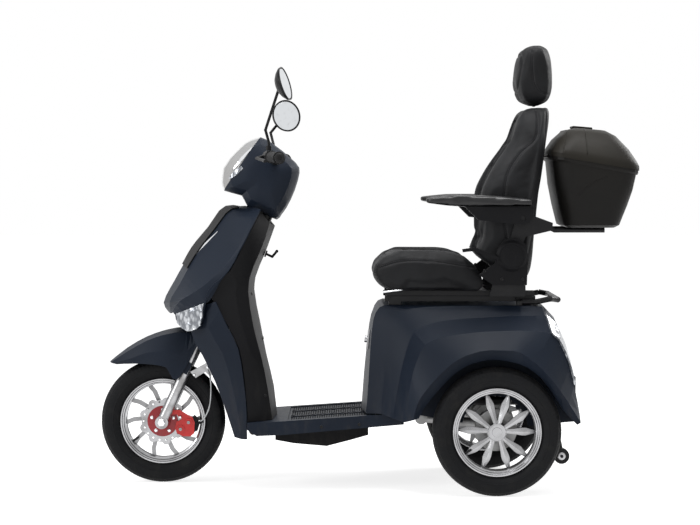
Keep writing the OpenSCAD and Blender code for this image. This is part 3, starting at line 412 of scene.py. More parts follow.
rim_of = {"front_rim": "front_tyre", "rim_left": "tyre_left", "rim_right": "tyre_right"}
for rim, wheel in rim_of.items():
    alloy = Finish(rim + "_alloy", (0.42, 0.42, 0.43), 0.2, Metallic=1.0, Coat_Weight=0.2, Coat_Roughness=0.1)
    radius, angle = around(alloy, wheel_centres[wheel])
    cast = alloy.noise(420.0, 2.0)
    haze = alloy.noise(16.0, 3.0, (1, 1, 1), 2.0)
    turned = (radius * 5200.0).wave() * 0.5 + 0.5
    lip = radius.between(0.124, 0.141, 0.003)
    deep = abs(alloy.axis("Y") - wheel_centres[wheel][1]).step(0.004, 0.022)
    # Painted shade: the colour darkens near the wheel's middle plane, in the barrel between the lips, and the haze
    # adds random cloudiness.
    barrel_shade_and_haze = haze.step(0.42, 0.8) * 0.45 + (1.0 - deep) * 0.4 * (1.0 - lip)
    alloy.feed("Base Color", alloy.blend((0.39, 0.39, 0.40), (0.11, 0.11, 0.11), barrel_shade_and_haze))
    alloy.feed("Roughness", 0.15 + cast * 0.06 + haze * 0.08 + (1.0 - deep) * 0.14)
    alloy.relief(turned * lip + cast, 0.06, 0.0002)
    stand_in(rim, alloy.material, 24, 0.0008)

# Tyres
# Black road rubber with a satin side wall that carries fine rings near the bead and short
# ribs at the shoulder, and a tread of slanted blocks, greyer where it has rolled.
for wheel, centre in wheel_centres.items():
    rubber = Finish(wheel + "_rubber", (0.006, 0.006, 0.007), 0.62, Specular_IOR_Level=0.16)
    radius, angle = around(rubber, centre)
    across = abs(rubber.axis("Y") - centre[1])
    crumb = rubber.noise(700.0, 2.0)
    scuff = rubber.noise(24.0, 5.0, (1, 1, 1), 7.0)
    rings = ((radius * 1700.0).wave() * 0.5 + 0.5) * radius.between(0.146, 0.158, 0.002)
    bead = radius.between(0.1615, 0.1635, 0.0012)
    ribs = (angle * 90.0).wave().step(-0.2, 0.3) * radius.between(0.180, 0.194, 0.002)
    lean = (angle * 28.0 + across * 120.0).wave().step(-0.85, -0.6)
    middle = (across * 1.0).step(0.0015, 0.004)
    blocks = lean * middle * radius.step(0.193, 0.196)
    rolled = radius.step(0.197, 0.201)
    worn = rubber.blend((0.0045, 0.0048, 0.0058), (0.014, 0.0138, 0.0135), scuff.step(0.45, 0.85))
    rubber.feed("Base Color", rubber.blend(worn, (0.018, 0.0175, 0.017), rolled * 0.5))
    rubber.feed("Roughness", 0.50 + crumb * 0.12 + scuff * 0.12 + rolled * 0.1)
    rubber.relief(crumb * 0.05 + rings * 0.18 + bead * 0.6 + ribs * 0.35 + blocks, 0.8, 0.0022)
    stand_in(wheel, rubber.material, 30, 0.0012)
grip_rubber = Finish("grip_rubber", (0.010, 0.010, 0.010), 0.6, Specular_IOR_Level=0.25)
ridge = (grip_rubber.axis("Y") * 1150.0).wave() * 0.5 + 0.5
gritty = grip_rubber.noise(600.0, 2.0)
grip_rubber.feed("Base Color", grip_rubber.blend((0.011, 0.011, 0.012), (0.022, 0.022, 0.023), gritty))
grip_rubber.feed("Roughness", 0.55 + gritty * 0.15)
grip_rubber.relief(ridge + gritty * 0.2, 0.6, 0.0012)
dress(grip_rubber.material, "grips", "tip_roller_left", "tip_roller_right")

# Lamps
# Clear polycarbonate lenses over bright reflectors. The front signals and tail lamps are
# cut like crystal inside, and the headlamp is plain with faint upright flutes. Its colour is
# painted darker towards its top as painted shade.
crystal = Finish("cut_lens", (0.50, 0.52, 0.54), 0.1, Metallic=0.4, Coat_Weight=0.5, Coat_Roughness=0.03)
facet = crystal.cells(85.0, "F1", (1, 1, 0.6))
wide = crystal.cells(30.0, "F1", (1, 1, 1))
crystal.feed("Base Color", crystal.blend((0.62, 0.64, 0.67), (0.10, 0.11, 0.13), facet.step(0.2, 0.7) * 0.85))
crystal.feed("Roughness", 0.06 + facet * 0.16)
crystal.relief(facet + wide, 0.6, 0.003)
for lens in ("front_signals", "tail_lamps"):
    stand_in(lens, crystal.material, 24, 0.001)
clear = Finish("head_lens", (0.40, 0.41, 0.42), 0.08, Coat_Weight=0.6, Coat_Roughness=0.03)
flute = (clear.axis("Y") * 420.0).wave() * 0.5 + 0.5
bowl = clear.noise(9.0, 2.0, (1, 1, 1), 1.0)
# Painted shade: the headlamp lens's colour darkens towards its top, and also varies with a broad noise.
height = clear.axis("Z").step(0.955, 1.10)
clear.feed("Base Color", clear.blend((0.44, 0.43, 0.42), (0.24, 0.245, 0.25), height * 0.6 + bowl * 0.4))
clear.feed("Roughness", 0.07 + bowl * 0.08)
clear.relief(flute, 0.18, 0.001)
stand_in("headlamp", clear.material, 24, 0.001)

# Mirrors
# Black shells on bent stems, with silvered convex glass that has a trace of dust smeared over it.
shell_plastic = moulded("shell_plastic", (0.010, 0.010, 0.011), (0.016, 0.016, 0.017), 0.35, 0.2, 1200.0)
stand_in("mirrors", shell_plastic, 30, 0.0008)
silvered = Finish("mirror_silver", (0.82, 0.84, 0.86), 0.05, Metallic=1.0)
smear = silvered.noise(60.0, 4.0)
silvered.feed("Roughness", 0.03 + smear.step(0.5, 0.9) * 0.12)
silvered.feed("Base Color", silvered.blend((0.70, 0.72, 0.74), (0.56, 0.57, 0.58), smear.step(0.5, 0.9)))
stand_in("mirror_glass", silvered.material, 30, 0.0006)

# Brake caliper
# A small two-piston caliper in red anodised aluminium, on a plate from the left fork leg.
def anodised(name, deep, bright):
    """Dyed and sealed aluminium."""
    finish = Finish(name, deep, 0.35, Metallic=0.3, Coat_Weight=0.3, Coat_Roughness=0.2)
    fleck = finish.noise(500.0, 2.0)
    dust = finish.noise(45.0, 3.0)
    finish.feed("Base Color", finish.blend(finish.blend(deep, bright, fleck), (0.10, 0.03, 0.03), dust.step(0.5, 0.9) * 0.4))
    finish.feed("Roughness", 0.28 + fleck * 0.14)
    finish.relief(fleck, 0.1, 0.0003)
    return finish.material


red_bright = anodised("red_anodised", (0.46, 0.008, 0.008), (0.66, 0.018, 0.014))
red_deep = anodised("red_deep", (0.20, 0.004, 0.008), (0.32, 0.008, 0.012))
stand_in("brake_caliper", red_bright, 28, 0.0012)

# Top case
# The case and its domed lid are black polypropylene, greyer and warmer than the panels, with
# a leather grain from the mould.
case_plastic = moulded("case_plastic", (0.0105, 0.0100, 0.0095), (0.019, 0.0175, 0.0155), 0.44, 0.5, 1000.0)
stand_in("case_tub", case_plastic, 22, 0.003)
lid_plastic = moulded("lid_plastic", (0.016, 0.0145, 0.012), (0.028, 0.025, 0.020), 0.46, 0.5, 1000.0)
stand_in("case_lid", lid_plastic, 34, 0.003)

# Seat cushion
# A deep foam cushion in black leatherette, sewn from a top with raised side bolsters and a
# plain border. Twin-needle seams hold the channels down, and the cover is blown out by the foam.
cover_finish = Finish("leatherette", (0.008, 0.0085, 0.010), 0.55, Specular_IOR_Level=0.18)
pebble = cover_finish.cells(900.0)
pores = cover_finish.noise(1500.0, 2.0)
creases = cover_finish.noise(46.0, 4.0, (1, 1, 0.5), 4.0)
patches = cover_finish.noise(7.0, 3.0, (1, 1, 1), 9.0)
shine = creases.step(0.45, 0.75)
cover_tint = cover_finish.blend((0.0060, 0.0062, 0.0072), (0.0125, 0.013, 0.0145), patches.step(0.35, 0.7))
cover_finish.feed("Base Color", cover_finish.blend(cover_tint, (0.018, 0.017, 0.017), shine * 0.25))
cover_finish.feed("Roughness", 0.48 + pebble * 0.16 + shine * 0.08)
cover_finish.relief(pebble * 0.6 + pores * 0.2 + creases * 1.4, 0.35, 0.0012)
leatherette = cover_finish.material


def vertices_of(piece):
    place = np.empty(len(piece.data.vertices) * 3)
    piece.data.vertices.foreach_get("co", place)
    return place.reshape(-1, 3)


def move_vertices(piece, place):
    piece.data.vertices.foreach_set("co", place.ravel())
    piece.data.update()


def normals_of(piece):
    out = np.empty(len(piece.data.vertices) * 3)
    piece.data.vertex_normals.foreach_get("vector", out)
    return out.reshape(-1, 3)


def stuffed(name, piece_name, voxel, pressure, most, body, piece=None, firm=None):
    """A padded piece over a CAD node: its cover is blown out by its stuffing, up to a limit.

    A side that looks along firm is a stiff board, and stays flat.
    """
    piece = piece or joined(name, piece_name)
    low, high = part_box(name)
    even = piece.modifiers.new("even_mesh", "REMESH")
    even.mode = "VOXEL"
    even.voxel_size = voxel
    soft = piece.modifiers.new("soft_edges", "SMOOTH")
    soft.factor = 0.6
    soft.iterations = 8
    settle(piece)
    start_normals = normals_of(piece)
    start = vertices_of(piece) - start_normals * 0.0015
    move_vertices(piece, start)
    cloth = piece.modifiers.new("stuffing", "CLOTH")
    cloth.settings.quality = 5
    cloth.settings.mass = 0.4
    cloth.settings.use_pressure = True
    cloth.settings.uniform_pressure_force = pressure
    cloth.settings.effector_weights.gravity = 0
    cloth.settings.tension_stiffness = 30
    cloth.settings.compression_stiffness = 30
    cloth.settings.shear_stiffness = 8
    cloth.settings.bending_stiffness = 0.8
    cloth.point_cache.frame_start = 1
    cloth.point_cache.frame_end = 20
    for frame_number in range(1, 21):
        scene.frame_set(frame_number)
    settle(piece)
    scene.frame_set(1)
    moved = vertices_of(piece) - start
    far = np.linalg.norm(moved, axis=1, keepdims=True)
    moved *= np.minimum(1, most / np.maximum(far, 1e-9))
    if firm is not None:
        moved *= 1 - np.clip(start_normals @ np.array(firm, float) * 1.6, 0, 1)[:, None]
    move_vertices(piece, np.clip(start + moved, np.array(low), np.array(high)))
    calm = piece.modifiers.new("calm", "SMOOTH")
    calm.factor = 0.5
    calm.iterations = 3
    fine = piece.modifiers.new("fine", "SUBSURF")
    fine.levels = 1
    fine.render_levels = 1
    settle(piece)
    piece.data.polygons.foreach_set("use_smooth", [True] * len(piece.data.polygons))
    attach(piece, body)
    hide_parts(name)
    return piece


def along_line(line, gap):
    """Points at an even gap along a broken line, and the direction at each."""
    line = np.array(line, float)
    legs = np.diff(line, axis=0)
    long = np.linalg.norm(legs, axis=1)
    ends = np.concatenate([[0], np.cumsum(long)])
    where = np.arange(gap / 2, ends[-1], gap)
    leg = np.clip(np.searchsorted(ends, where) - 1, 0, len(legs) - 1)
    share = (where - ends[leg]) / long[leg]
    return line[leg] + legs[leg] * share[:, None], legs[leg] / long[leg][:, None]


def curve_through(points, steps=8):
    """A smooth line through its points."""
    points = np.array(points, float)
    padded = np.vstack([2 * points[0] - points[1], points, 2 * points[-1] - points[-2]])
    smooth = []
    for k in range(1, len(padded) - 2):
        before, first, second, after = padded[k - 1 : k + 3]
        for t in np.linspace(0, 1, steps, endpoint=False):
            smooth.append(
                0.5
                * (
                    2 * first
                    + (second - before) * t
                    + (2 * before - 5 * first + 4 * second - after) * t**2
                    + (3 * first - before - 3 * second + after) * t**3
                )
            )
    smooth.append(points[-1])
    return np.array(smooth)


def press_seam(piece, line, axes, facing, depth, width):
    """Presses a seam into the faces of a piece that look a given way, under a line drawn on two axes."""
    place = vertices_of(piece)
    normal = normals_of(piece)
    flat = place[:, axes]
    near = np.full(len(place), np.inf)
    line = np.array(line, float)
    for first, second in zip(line[:-1], line[1:]):
        leg = second - first
        share = np.clip(((flat - first) @ leg) / (leg @ leg), 0, 1)
        near = np.minimum(near, np.linalg.norm(flat - first - share[:, None] * leg, axis=1))
    facing = np.array(facing, float)
    looks = np.clip((normal @ facing - 0.25) / 0.35, 0, 1)
    sink = depth * np.exp(-((near / width) ** 2)) * looks
    move_vertices(piece, place - normal * sink[:, None])


repeat_tree = bpy.data.node_groups.new("repeat_item", "GeometryNodeTree")
places_in = repeat_tree.interface.new_socket("Places", in_out="INPUT", socket_type="NodeSocketGeometry")
item_in = repeat_tree.interface.new_socket("Item", in_out="INPUT", socket_type="NodeSocketObject")
finish_in = repeat_tree.interface.new_socket("Finish", in_out="INPUT", socket_type="NodeSocketMaterial")
vary_in = repeat_tree.interface.new_socket("Size variation", in_out="INPUT", socket_type="NodeSocketFloat")
repeat_tree.interface.new_socket("Copies", in_out="OUTPUT", socket_type="NodeSocketGeometry")


def tree_node(kind, settings=None):
    made = repeat_tree.nodes.new(kind)
    for name, value in (settings or {}).items():
        setattr(made, name, value)
    return made


group_in = tree_node("NodeGroupInput")
group_out = tree_node("NodeGroupOutput")
item_info = tree_node("GeometryNodeObjectInfo")
face_out = tree_node("FunctionNodeAlignRotationToVector", {"axis": "Z"})
face_along = tree_node("FunctionNodeAlignRotationToVector", {"axis": "X", "pivot_axis": "Z"})
out_vector = tree_node("GeometryNodeInputNamedAttribute", {"data_type": "FLOAT_VECTOR"})
out_vector.inputs["Name"].default_value = "outward"
along_vector = tree_node("GeometryNodeInputNamedAttribute", {"data_type": "FLOAT_VECTOR"})
along_vector.inputs["Name"].default_value = "along"
random_size = tree_node("FunctionNodeRandomValue", {"data_type": "FLOAT"})
random_size.inputs["Seed"].default_value = 11
smallest = tree_node("ShaderNodeMath", {"operation": "SUBTRACT"})
smallest.inputs[0].default_value = 1.0
copies = tree_node("GeometryNodeInstanceOnPoints")
solid = tree_node("GeometryNodeRealizeInstances")
coated_copies = tree_node("GeometryNodeSetMaterial")
tree_link = repeat_tree.links.new
tree_link(group_in.outputs["Item"], item_info.inputs["Object"])
tree_link(out_vector.outputs["Attribute"], face_out.inputs["Vector"])
tree_link(face_out.outputs["Rotation"], face_along.inputs["Rotation"])
tree_link(along_vector.outputs["Attribute"], face_along.inputs["Vector"])
tree_link(group_in.outputs["Size variation"], smallest.inputs[1])
tree_link(smallest.outputs[0], random_size.inputs[2])
random_size.inputs[3].default_value = 1.0
tree_link(group_in.outputs["Places"], copies.inputs["Points"])
tree_link(item_info.outputs["Geometry"], copies.inputs["Instance"])
tree_link(face_along.outputs["Rotation"], copies.inputs["Rotation"])
tree_link(random_size.outputs[1], copies.inputs["Scale"])
tree_link(copies.outputs["Instances"], solid.inputs["Geometry"])
tree_link(solid.outputs["Geometry"], coated_copies.inputs["Geometry"])
tree_link(group_in.outputs["Finish"], coated_copies.inputs["Material"])
tree_link(coated_copies.outputs["Geometry"], group_out.inputs["Copies"])


def repeated(name, item_mesh, places, outward, along, material, body, variation=0.0):
    """Copies of one small mesh at many places, each turned to look outward and lie along a line."""
    mesh = bpy.data.meshes.new(name)
    mesh.from_pydata([tuple(p) for p in places], [], [])
    for key, value in (("outward", outward), ("along", along)):
        attribute = mesh.attributes.new(key, "FLOAT_VECTOR", "POINT")
        attribute.data.foreach_set("vector", np.array(value, np.float32).ravel())
    host = bpy.data.objects.new(name, mesh)
    scene.collection.objects.link(host)
    item = bpy.data.objects.new(name + "_item", item_mesh)
    scene.collection.objects.link(item)
    maker = host.modifiers.new("copies", "NODES")
    maker.node_group = repeat_tree
    maker[item_in.identifier] = item
    maker[finish_in.identifier] = material
    maker[vary_in.identifier] = variation
    bpy.context.view_layer.update()
    settle(host)
    bpy.data.objects.remove(item)
    paint(host, material)
    host.data.polygons.foreach_set("use_smooth", [True] * len(host.data.polygons))
    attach(host, body)
    return host


def stitch_mesh(length, radius):
    """One stitch: a short rounded thread, lying along X."""
    work = bmesh.new()
    bmesh.ops.create_uvsphere(work, u_segments=6, v_segments=5, radius=radius)
    bmesh.ops.scale(work, vec=(length / (2 * radius), 1, 0.75), verts=work.verts)
    mesh = bpy.data.meshes.new("stitch")
    work.to_mesh(mesh)
    work.free()
    return mesh


thread_finish = Finish("black_thread", (0.02, 0.02, 0.022), 0.6, Specular_IOR_Level=0.4)
twist = thread_finish.noise(2200.0, 2.0)
thread_finish.feed("Base Color", thread_finish.blend((0.016, 0.016, 0.018), (0.05, 0.05, 0.054), twist))
thread_finish.feed("Roughness", 0.5 + twist * 0.2)
thread_finish.relief(twist, 0.4, 0.0003)
one_stitch = stitch_mesh(0.0046, 0.00065)


def sew(name, piece, lines, axes, facing, body, aside=0.0032, gap=0.0062):
    """Two rows of stitches beside each seam line, laid on the piece by a ray from outside."""
    tree = BVHTree.FromObject(piece, bpy.context.evaluated_depsgraph_get())
    ray = Vector(facing) * -1
    third = ({0, 1, 2} - set(axes)).pop()
    places, outward, along = [], [], []
    for line in lines:
        spots, ways = along_line(line, gap)
        for side in (-aside, aside):
            for spot, way in zip(spots, ways):
                shifted = spot + np.array((-way[1], way[0])) * side
                origin = Vector((0, 0, 0))
                origin[axes[0]], origin[axes[1]] = shifted
                origin[third] = 3.0 * facing[third]
                hit, normal, index, distance = tree.ray_cast(origin, ray)
                if hit is None or normal.dot(Vector(facing)) < 0.25:
                    continue
                heading = Vector((0, 0, 0))
                heading[axes[0]], heading[axes[1]] = way
                places.append(hit + normal * 0.0002)
                outward.append(normal)
                along.append((heading - normal * heading.dot(normal)).normalized())
    return repeated(name, one_stitch, places, outward, along, thread_finish.material, body)


def both_ways(line):
    """A line and its mirror across the scooter's middle, for lines whose first number is Y."""
    return [line, [(-a, b) for a, b in line]]


cushion = stuffed("seat_cushion", "cushion_cover", 0.0056, 4.0, 0.012, "seat")
cushion_side = curve_through([(0.036, 0.712), (0.103, 0.731), (0.196, 0.732), (0.308, 0.716), (0.383, 0.702)])
bolster = [(0.060, 0.140), (0.120, 0.152), (0.240, 0.153), (0.335, 0.146)]
bolster_lines = [curve_through(bolster), curve_through([(x, -y) for x, y in bolster])]
front_seam = curve_through([(0.062, -0.142), (0.050, -0.07), (0.046, 0.0), (0.050, 0.07), (0.062, 0.142)])
channels = [curve_through([(x, -0.149), (x - 0.008, 0.0), (x, 0.149)]) for x in (0.122, 0.184, 0.246, 0.308)]
for facing in ((0, -1, 0), (0, 1, 0)):
    press_seam(cushion, cushion_side, [0, 2], facing, 0.0035, 0.004)
for line in (*bolster_lines, front_seam):
    press_seam(cushion, line, [0, 1], (0, 0, 1), 0.007, 0.0065)
for line in channels:
    press_seam(cushion, line, [0, 1], (0, 0, 1), 0.0045, 0.008)
paint(cushion, leatherette)
sew("cushion_side_stitches_left", cushion, [cushion_side], [0, 2], (0, -1, 0), "seat")
sew("cushion_side_stitches_right", cushion, [cushion_side], [0, 2], (0, 1, 0), "seat")
sew("cushion_top_stitches", cushion, [*bolster_lines, front_seam], [0, 1], (0, 0, 1), "seat", 0.0048)

# Backrest
# A tall foam backrest with wings at the shoulders: a middle panel in channels, bolsters down
# its sides, and a flat rear cover sewn on along a line near the back edge.
backrest = stuffed("seat_back", "backrest_cover", 0.0060, 4.0, 0.011, "backrest", None, (1, 0, 0))
wing_seam = curve_through(
    [(0.540, 1.205), (0.541, 1.178), (0.531, 1.120), (0.481, 1.073), (0.443, 1.014), (0.430, 0.950)]
    + [(0.430, 0.870), (0.440, 0.790), (0.446, 0.720)]
)
rear_seam = curve_through([(0.571, 1.205), (0.561, 1.096), (0.548, 0.979), (0.528, 0.850), (0.500, 0.720)])
middle = [(0.142, 0.690), (0.150, 0.850), (0.150, 1.000), (0.132, 1.110), (0.104, 1.180)]
middle_lines = [curve_through(line) for line in both_ways(middle)]
top_seam = curve_through([(-0.104, 1.180), (-0.050, 1.196), (0.0, 1.200), (0.050, 1.196), (0.104, 1.180)])
ribs_of_back = [
    curve_through([(-half, height - 0.006), (0.0, height), (half, height - 0.006)])
    for half, height in ((0.149, 0.800), (0.150, 0.880), (0.150, 0.960), (0.147, 1.040), (0.132, 1.115))
]
for facing in ((0, -1, 0), (0, 1, 0)):
    press_seam(backrest, wing_seam, [0, 2], facing, 0.0045, 0.0045)
    press_seam(backrest, rear_seam, [0, 2], facing, 0.0030, 0.0035)
for line in (*middle_lines, top_seam):
    press_seam(backrest, line, [1, 2], (-1, 0, 0), 0.007, 0.0065)
for line in ribs_of_back:
    press_seam(backrest, line, [1, 2], (-1, 0, 0), 0.0045, 0.008)
paint(backrest, leatherette)
sew("backrest_side_stitches_left", backrest, [wing_seam, rear_seam], [0, 2], (0, -1, 0), "backrest")
sew("backrest_side_stitches_right", backrest, [wing_seam, rear_seam], [0, 2], (0, 1, 0), "backrest")
sew("backrest_front_stitches", backrest, [*middle_lines, top_seam], [1, 2], (-1, 0, 0), "backrest", 0.0048)

# Headrest
# A small foam pillow with a boxed border, standing on two steel posts.
head_form = joined("headrest", "headrest_cover")
for vertex in head_form.data.vertices:
    rise = max(0.0, min(1.0, (vertex.co.z - 1.30) / 0.12))
    vertex.co.x = 0.556 + (vertex.co.x - 0.556) * (1 + 0.75 * rise * rise)
    vertex.co.y *= 1 + 0.2 * rise * rise
headrest = stuffed("headrest", "headrest_cover", 0.0045, 5.0, 0.010, "backrest", head_form)
head_seam = curve_through(
    [(0.524, 1.400), (0.527, 1.335), (0.535, 1.290), (0.555, 1.268), (0.580, 1.262)], 6
)
pillow = [(0.0, 1.268), (0.060, 1.272), (0.092, 1.300), (0.096, 1.340), (0.080, 1.388), (0.0, 1.400)]
pillow_lines = [curve_through(line) for line in both_ways(pillow)]
for facing in ((0, -1, 0), (0, 1, 0)):
    press_seam(headrest, head_seam, [0, 2], facing, 0.0032, 0.0035)
for line in pillow_lines:
    press_seam(headrest, line, [1, 2], (-1, 0, 0), 0.004, 0.005)
paint(headrest, leatherette)
sew("headrest_stitches_left", headrest, [head_seam], [0, 2], (0, -1, 0), "backrest", 0.0026, 0.0056)
sew("headrest_stitches_right", headrest, [head_seam], [0, 2], (0, 1, 0), "backrest", 0.0026, 0.0056)

# Armrests
# Each arm is a moulded black shell on a pin, with a smooth polyurethane pad on top that is
# glossier than the seat.
pad_skin = Finish("pad_skin", (0.006, 0.006, 0.007), 0.3, Specular_IOR_Level=0.4)
pad_grain = pad_skin.cells(1100.0)
pad_wear = pad_skin.noise(30.0, 4.0)
pad_skin.feed("Base Color", pad_skin.blend((0.005, 0.005, 0.006), (0.012, 0.012, 0.013), pad_wear.step(0.4, 0.8)))
pad_skin.feed("Roughness", 0.24 + pad_grain * 0.10 + pad_wear * 0.06)
pad_skin.relief(pad_grain, 0.12, 0.0004)
pad_foot = 0.9055


def slice_of(name, piece_name, height, top):
    """The part of a CAD node's copy above or below a level, closed on its cut."""
    piece = joined(name, piece_name)
    work = bmesh.new()
    work.from_mesh(piece.data)
    every = work.verts[:] + work.edges[:] + work.faces[:]
    cut = bmesh.ops.bisect_plane(
        work, geom=every, plane_co=(0, 0, height), plane_no=(0, 0, 1), clear_inner=top, clear_outer=not top
    )
    rim = [e for e in cut["geom_cut"] if isinstance(e, bmesh.types.BMEdge)]
    bmesh.ops.holes_fill(work, edges=rim, sides=0)
    bmesh.ops.recalc_face_normals(work, faces=work.faces)
    work.to_mesh(piece.data)
    work.free()
    return piece


for side in ("left", "right"):
    arm = "armrest_" + side
    arm_shell = eased(slice_of(arm, arm + "_shell", pad_foot, False), 28, 0.0015)
    paint(arm_shell, black_plastic)
    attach(arm_shell, body_with[arm])
    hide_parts(arm)
    pad = stuffed(arm, arm + "_pad", 0.0045, 2.0, 0.005, body_with[arm], slice_of(arm, arm + "_pad", pad_foot, True))
    paint(pad, pad_skin.material)

# Bright strips and front lamps
# Thin chrome-plated strips are clipped along the nose and beside the headlamp, and a narrow
# signal lens sits under the headlamp on each side.
chrome = Finish("chrome_plate", (0.82, 0.83, 0.85), 0.09, Metallic=1.0)
chrome_film = chrome.noise(40.0, 4.0)
chrome_pits = chrome.noise(900.0, 1.0)
chrome.feed("Base Color", chrome.blend((0.80, 0.81, 0.83), (0.52, 0.52, 0.53), chrome_film.step(0.5, 0.85) * 0.6))
chrome.feed("Roughness", 0.06 + chrome_film.step(0.4, 0.9) * 0.14)
chrome.relief(chrome_pits, 0.06, 0.0002)


def grid_object(name, rows, columns, place):
    """A sheet of rows by columns points."""
    faces = []
    for r in range(rows - 1):
        for c in range(columns - 1):
            k = r * columns + c
            faces.append((k, k + 1, k + columns + 1, k + columns))
    mesh = bpy.data.meshes.new(name)
    mesh.from_pydata([tuple(p) for p in place], [], faces)
    piece = bpy.data.objects.new(name, mesh)
    scene.collection.objects.link(piece)
    return piece


def surface_of(*names):
    """Casts rays against CAD nodes."""
    corners, faces = [], []
    for name in names:
        mesh = nodes[name].data
        base = len(corners)
        corners += [vertex.co.copy() for vertex in mesh.vertices]
        faces += [tuple(base + index for index in face.vertices) for face in mesh.polygons]
    return BVHTree.FromPolygons(corners, faces)


def laid_strip(name, surface, line, widths, axes, facing, thick, material, body, lift=0.0001):
    """A strip with a line and a width at each end, laid on a surface by rays and given a thickness."""
    spots, ways = along_line(curve_through(line), 0.0022)
    spread = np.linspace(widths[0], widths[-1], len(spots))
    if len(widths) == 3:
        spread = np.interp(np.linspace(0, 2, len(spots)), [0, 1, 2], widths)
    third = ({0, 1, 2} - set(axes)).pop()
    direction = Vector(facing)
    columns = 7
    hits = []
    last = 0.0
    for spot, way, width in zip(spots, ways, spread):
        for share in np.linspace(-0.5, 0.5, columns):
            flat = spot + np.array((-way[1], way[0])) * width * share
            origin = Vector((0, 0, 0))
            origin[axes[0]], origin[axes[1]] = flat
            origin[third] = 3.0 * facing[third]
            hit, normal, index, distance = surface.ray_cast(origin, -direction)
            if hit is not None:
                last = hit[third]
            origin[third] = last
            hits.append(origin + direction * lift)
    piece = grid_object(name, len(spots), columns, hits)
    solid = piece.modifiers.new("thickness", "SOLIDIFY")
    solid.thickness = thick
    solid.offset = 1.0
    work = bmesh.new()
    work.from_mesh(piece.data)
    work.faces.ensure_lookup_table()
    middle = work.faces[len(work.faces) // 2]
    middle.normal_update()
    if middle.normal.dot(direction) < 0:
        bmesh.ops.reverse_faces(work, faces=work.faces)
    work.to_mesh(piece.data)
    work.free()
    settle(piece)
    eased(piece, 40, min(thick, min(widths)) * 0.3)
    paint(piece, material)
    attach(piece, body)
    return piece


def mirrored_sides(name, surface, line, widths, thick, material, body):
    for side, word in ((-1, "left"), (1, "right")):
        laid_strip(name + "_" + word, surface, line, widths, [0, 2], (0, side, 0), thick, material, body)


nose = surface_of("front_cowl", "nose_trim")
mirrored_sides(
    "nose_strip", nose, [(-0.556, 0.748), (-0.522, 0.785), (-0.484, 0.823)], [0.002, 0.005, 0.0015],
    0.0016, chrome.material, "chassis",
)
head = surface_of("head_cowl", "headlamp")
mirrored_sides(
    "headlamp_strip", head, [(-0.373, 1.093), (-0.404, 1.059), (-0.433, 1.024)], [0.003, 0.010, 0.005],
    0.0018, chrome.material, "steering",
)
mirrored_sides(
    "side_signal", head, [(-0.404, 1.030), (-0.428, 1.010), (-0.449, 0.990)], [0.010, 0.016, 0.005],
    0.0022, crystal.material, "steering",
)

# Front brake
# The disc bolts to a red anodised carrier. A steel cable runs from a bracket on the left fork
# leg down to the caliper, and a plated nut holds the axle on each side.
front_axle = wheel_centres["front_tyre"]


def turned(name, profile, centre, direction, material, body, slot, segments=48, sharp=32):
    """A piece turned on a lathe: radius and distance along its axis, from an outline."""
    rows = len(profile)
    place, faces = [], []
    for radius, along in profile:
        for k in range(segments):
            angle = 2 * math.pi * k / segments
            place.append((radius * math.cos(angle), radius * math.sin(angle), along))
    for r in range(rows - 1):
        for k in range(segments):
            other = (k + 1) % segments
            faces.append((r * segments + k, r * segments + other, (r + 1) * segments + other, (r + 1) * segments + k))
    faces.append(tuple(range(segments))[::-1])
    faces.append(tuple((rows - 1) * segments + k for k in range(segments)))
    mesh = bpy.data.meshes.new(name)
    mesh.from_pydata(place, [], faces)
    turn = Vector(direction).to_track_quat("Z", "Y").to_matrix().to_4x4()
    mesh.transform(Matrix.Translation(Vector(centre)) @ turn)
    work = bmesh.new()
    work.from_mesh(mesh)
    bmesh.ops.remove_doubles(work, verts=work.verts, dist=0.000001)
    bmesh.ops.recalc_face_normals(work, faces=work.faces)
    work.to_mesh(mesh)
    work.free()
    piece = bpy.data.objects.new(name, mesh)
    scene.collection.objects.link(piece)
    if body is None:
        return piece
    eased(piece, sharp, 0.0004)
    paint(piece, material)
    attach(piece, body)
    return piece


def bar_along(name, points, radius, material, body, sides=14, flat=1.0, smooth=True):
    """A bar or cable of round section along a line, with rounded ends."""
    line = curve_through(points) if smooth else np.array(points, float)
    ways = np.gradient(line, axis=0)
    ways /= np.linalg.norm(ways, axis=1)[:, None]
    side = np.cross(ways[0], (0.0, 1.0, 0.01))
    side /= np.linalg.norm(side)
    rings = [(line[0] - ways[0] * radius * 0.5, 0.5)] + [(p, 1.0) for p in line] + [(line[-1] + ways[-1] * radius * 0.5, 0.5)]
    ways = np.vstack([ways[:1], ways, ways[-1:]])
    place, faces = [], []
    for (middle, share), way in zip(rings, ways):
        side = side - way * (side @ way)
        side /= np.linalg.norm(side)
        other = np.cross(way, side)
        for k in range(sides):
            angle = 2 * math.pi * k / sides
            place.append(middle + (side * math.cos(angle) + other * math.sin(angle) * flat) * radius * share)
    for r in range(len(rings) - 1):
        for k in range(sides):
            near = (k + 1) % sides
            faces.append((r * sides + k, r * sides + near, (r + 1) * sides + near, (r + 1) * sides + k))
    faces.append(tuple(range(sides))[::-1])
    faces.append(tuple((len(rings) - 1) * sides + k for k in range(sides)))
    mesh = bpy.data.meshes.new(name)
    mesh.from_pydata([tuple(p) for p in place], [], faces)
    work = bmesh.new()
    work.from_mesh(mesh)
    bmesh.ops.recalc_face_normals(work, faces=work.faces)
    work.to_mesh(mesh)
    work.free()
    piece = bpy.data.objects.new(name, mesh)
    scene.collection.objects.link(piece)
    piece.data.polygons.foreach_set("use_smooth", [True] * len(piece.data.polygons))
    paint(piece, material)
    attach(piece, body)
    return piece


def hexagon_head(size, height):
    """A hexagon bolt head standing on its flange, looking along Z."""
    holder = turned(
        "bolt_head",
        [(size * 1.25, 0), (size * 1.25, height * 0.25), (size, height * 0.3), (size, height * 0.9), (size * 0.85, height)],
        (0, 0, 0), (0, 0, 1), None, None, None, 6,
    )
    mesh = holder.data
    bpy.data.objects.remove(holder)
    return mesh


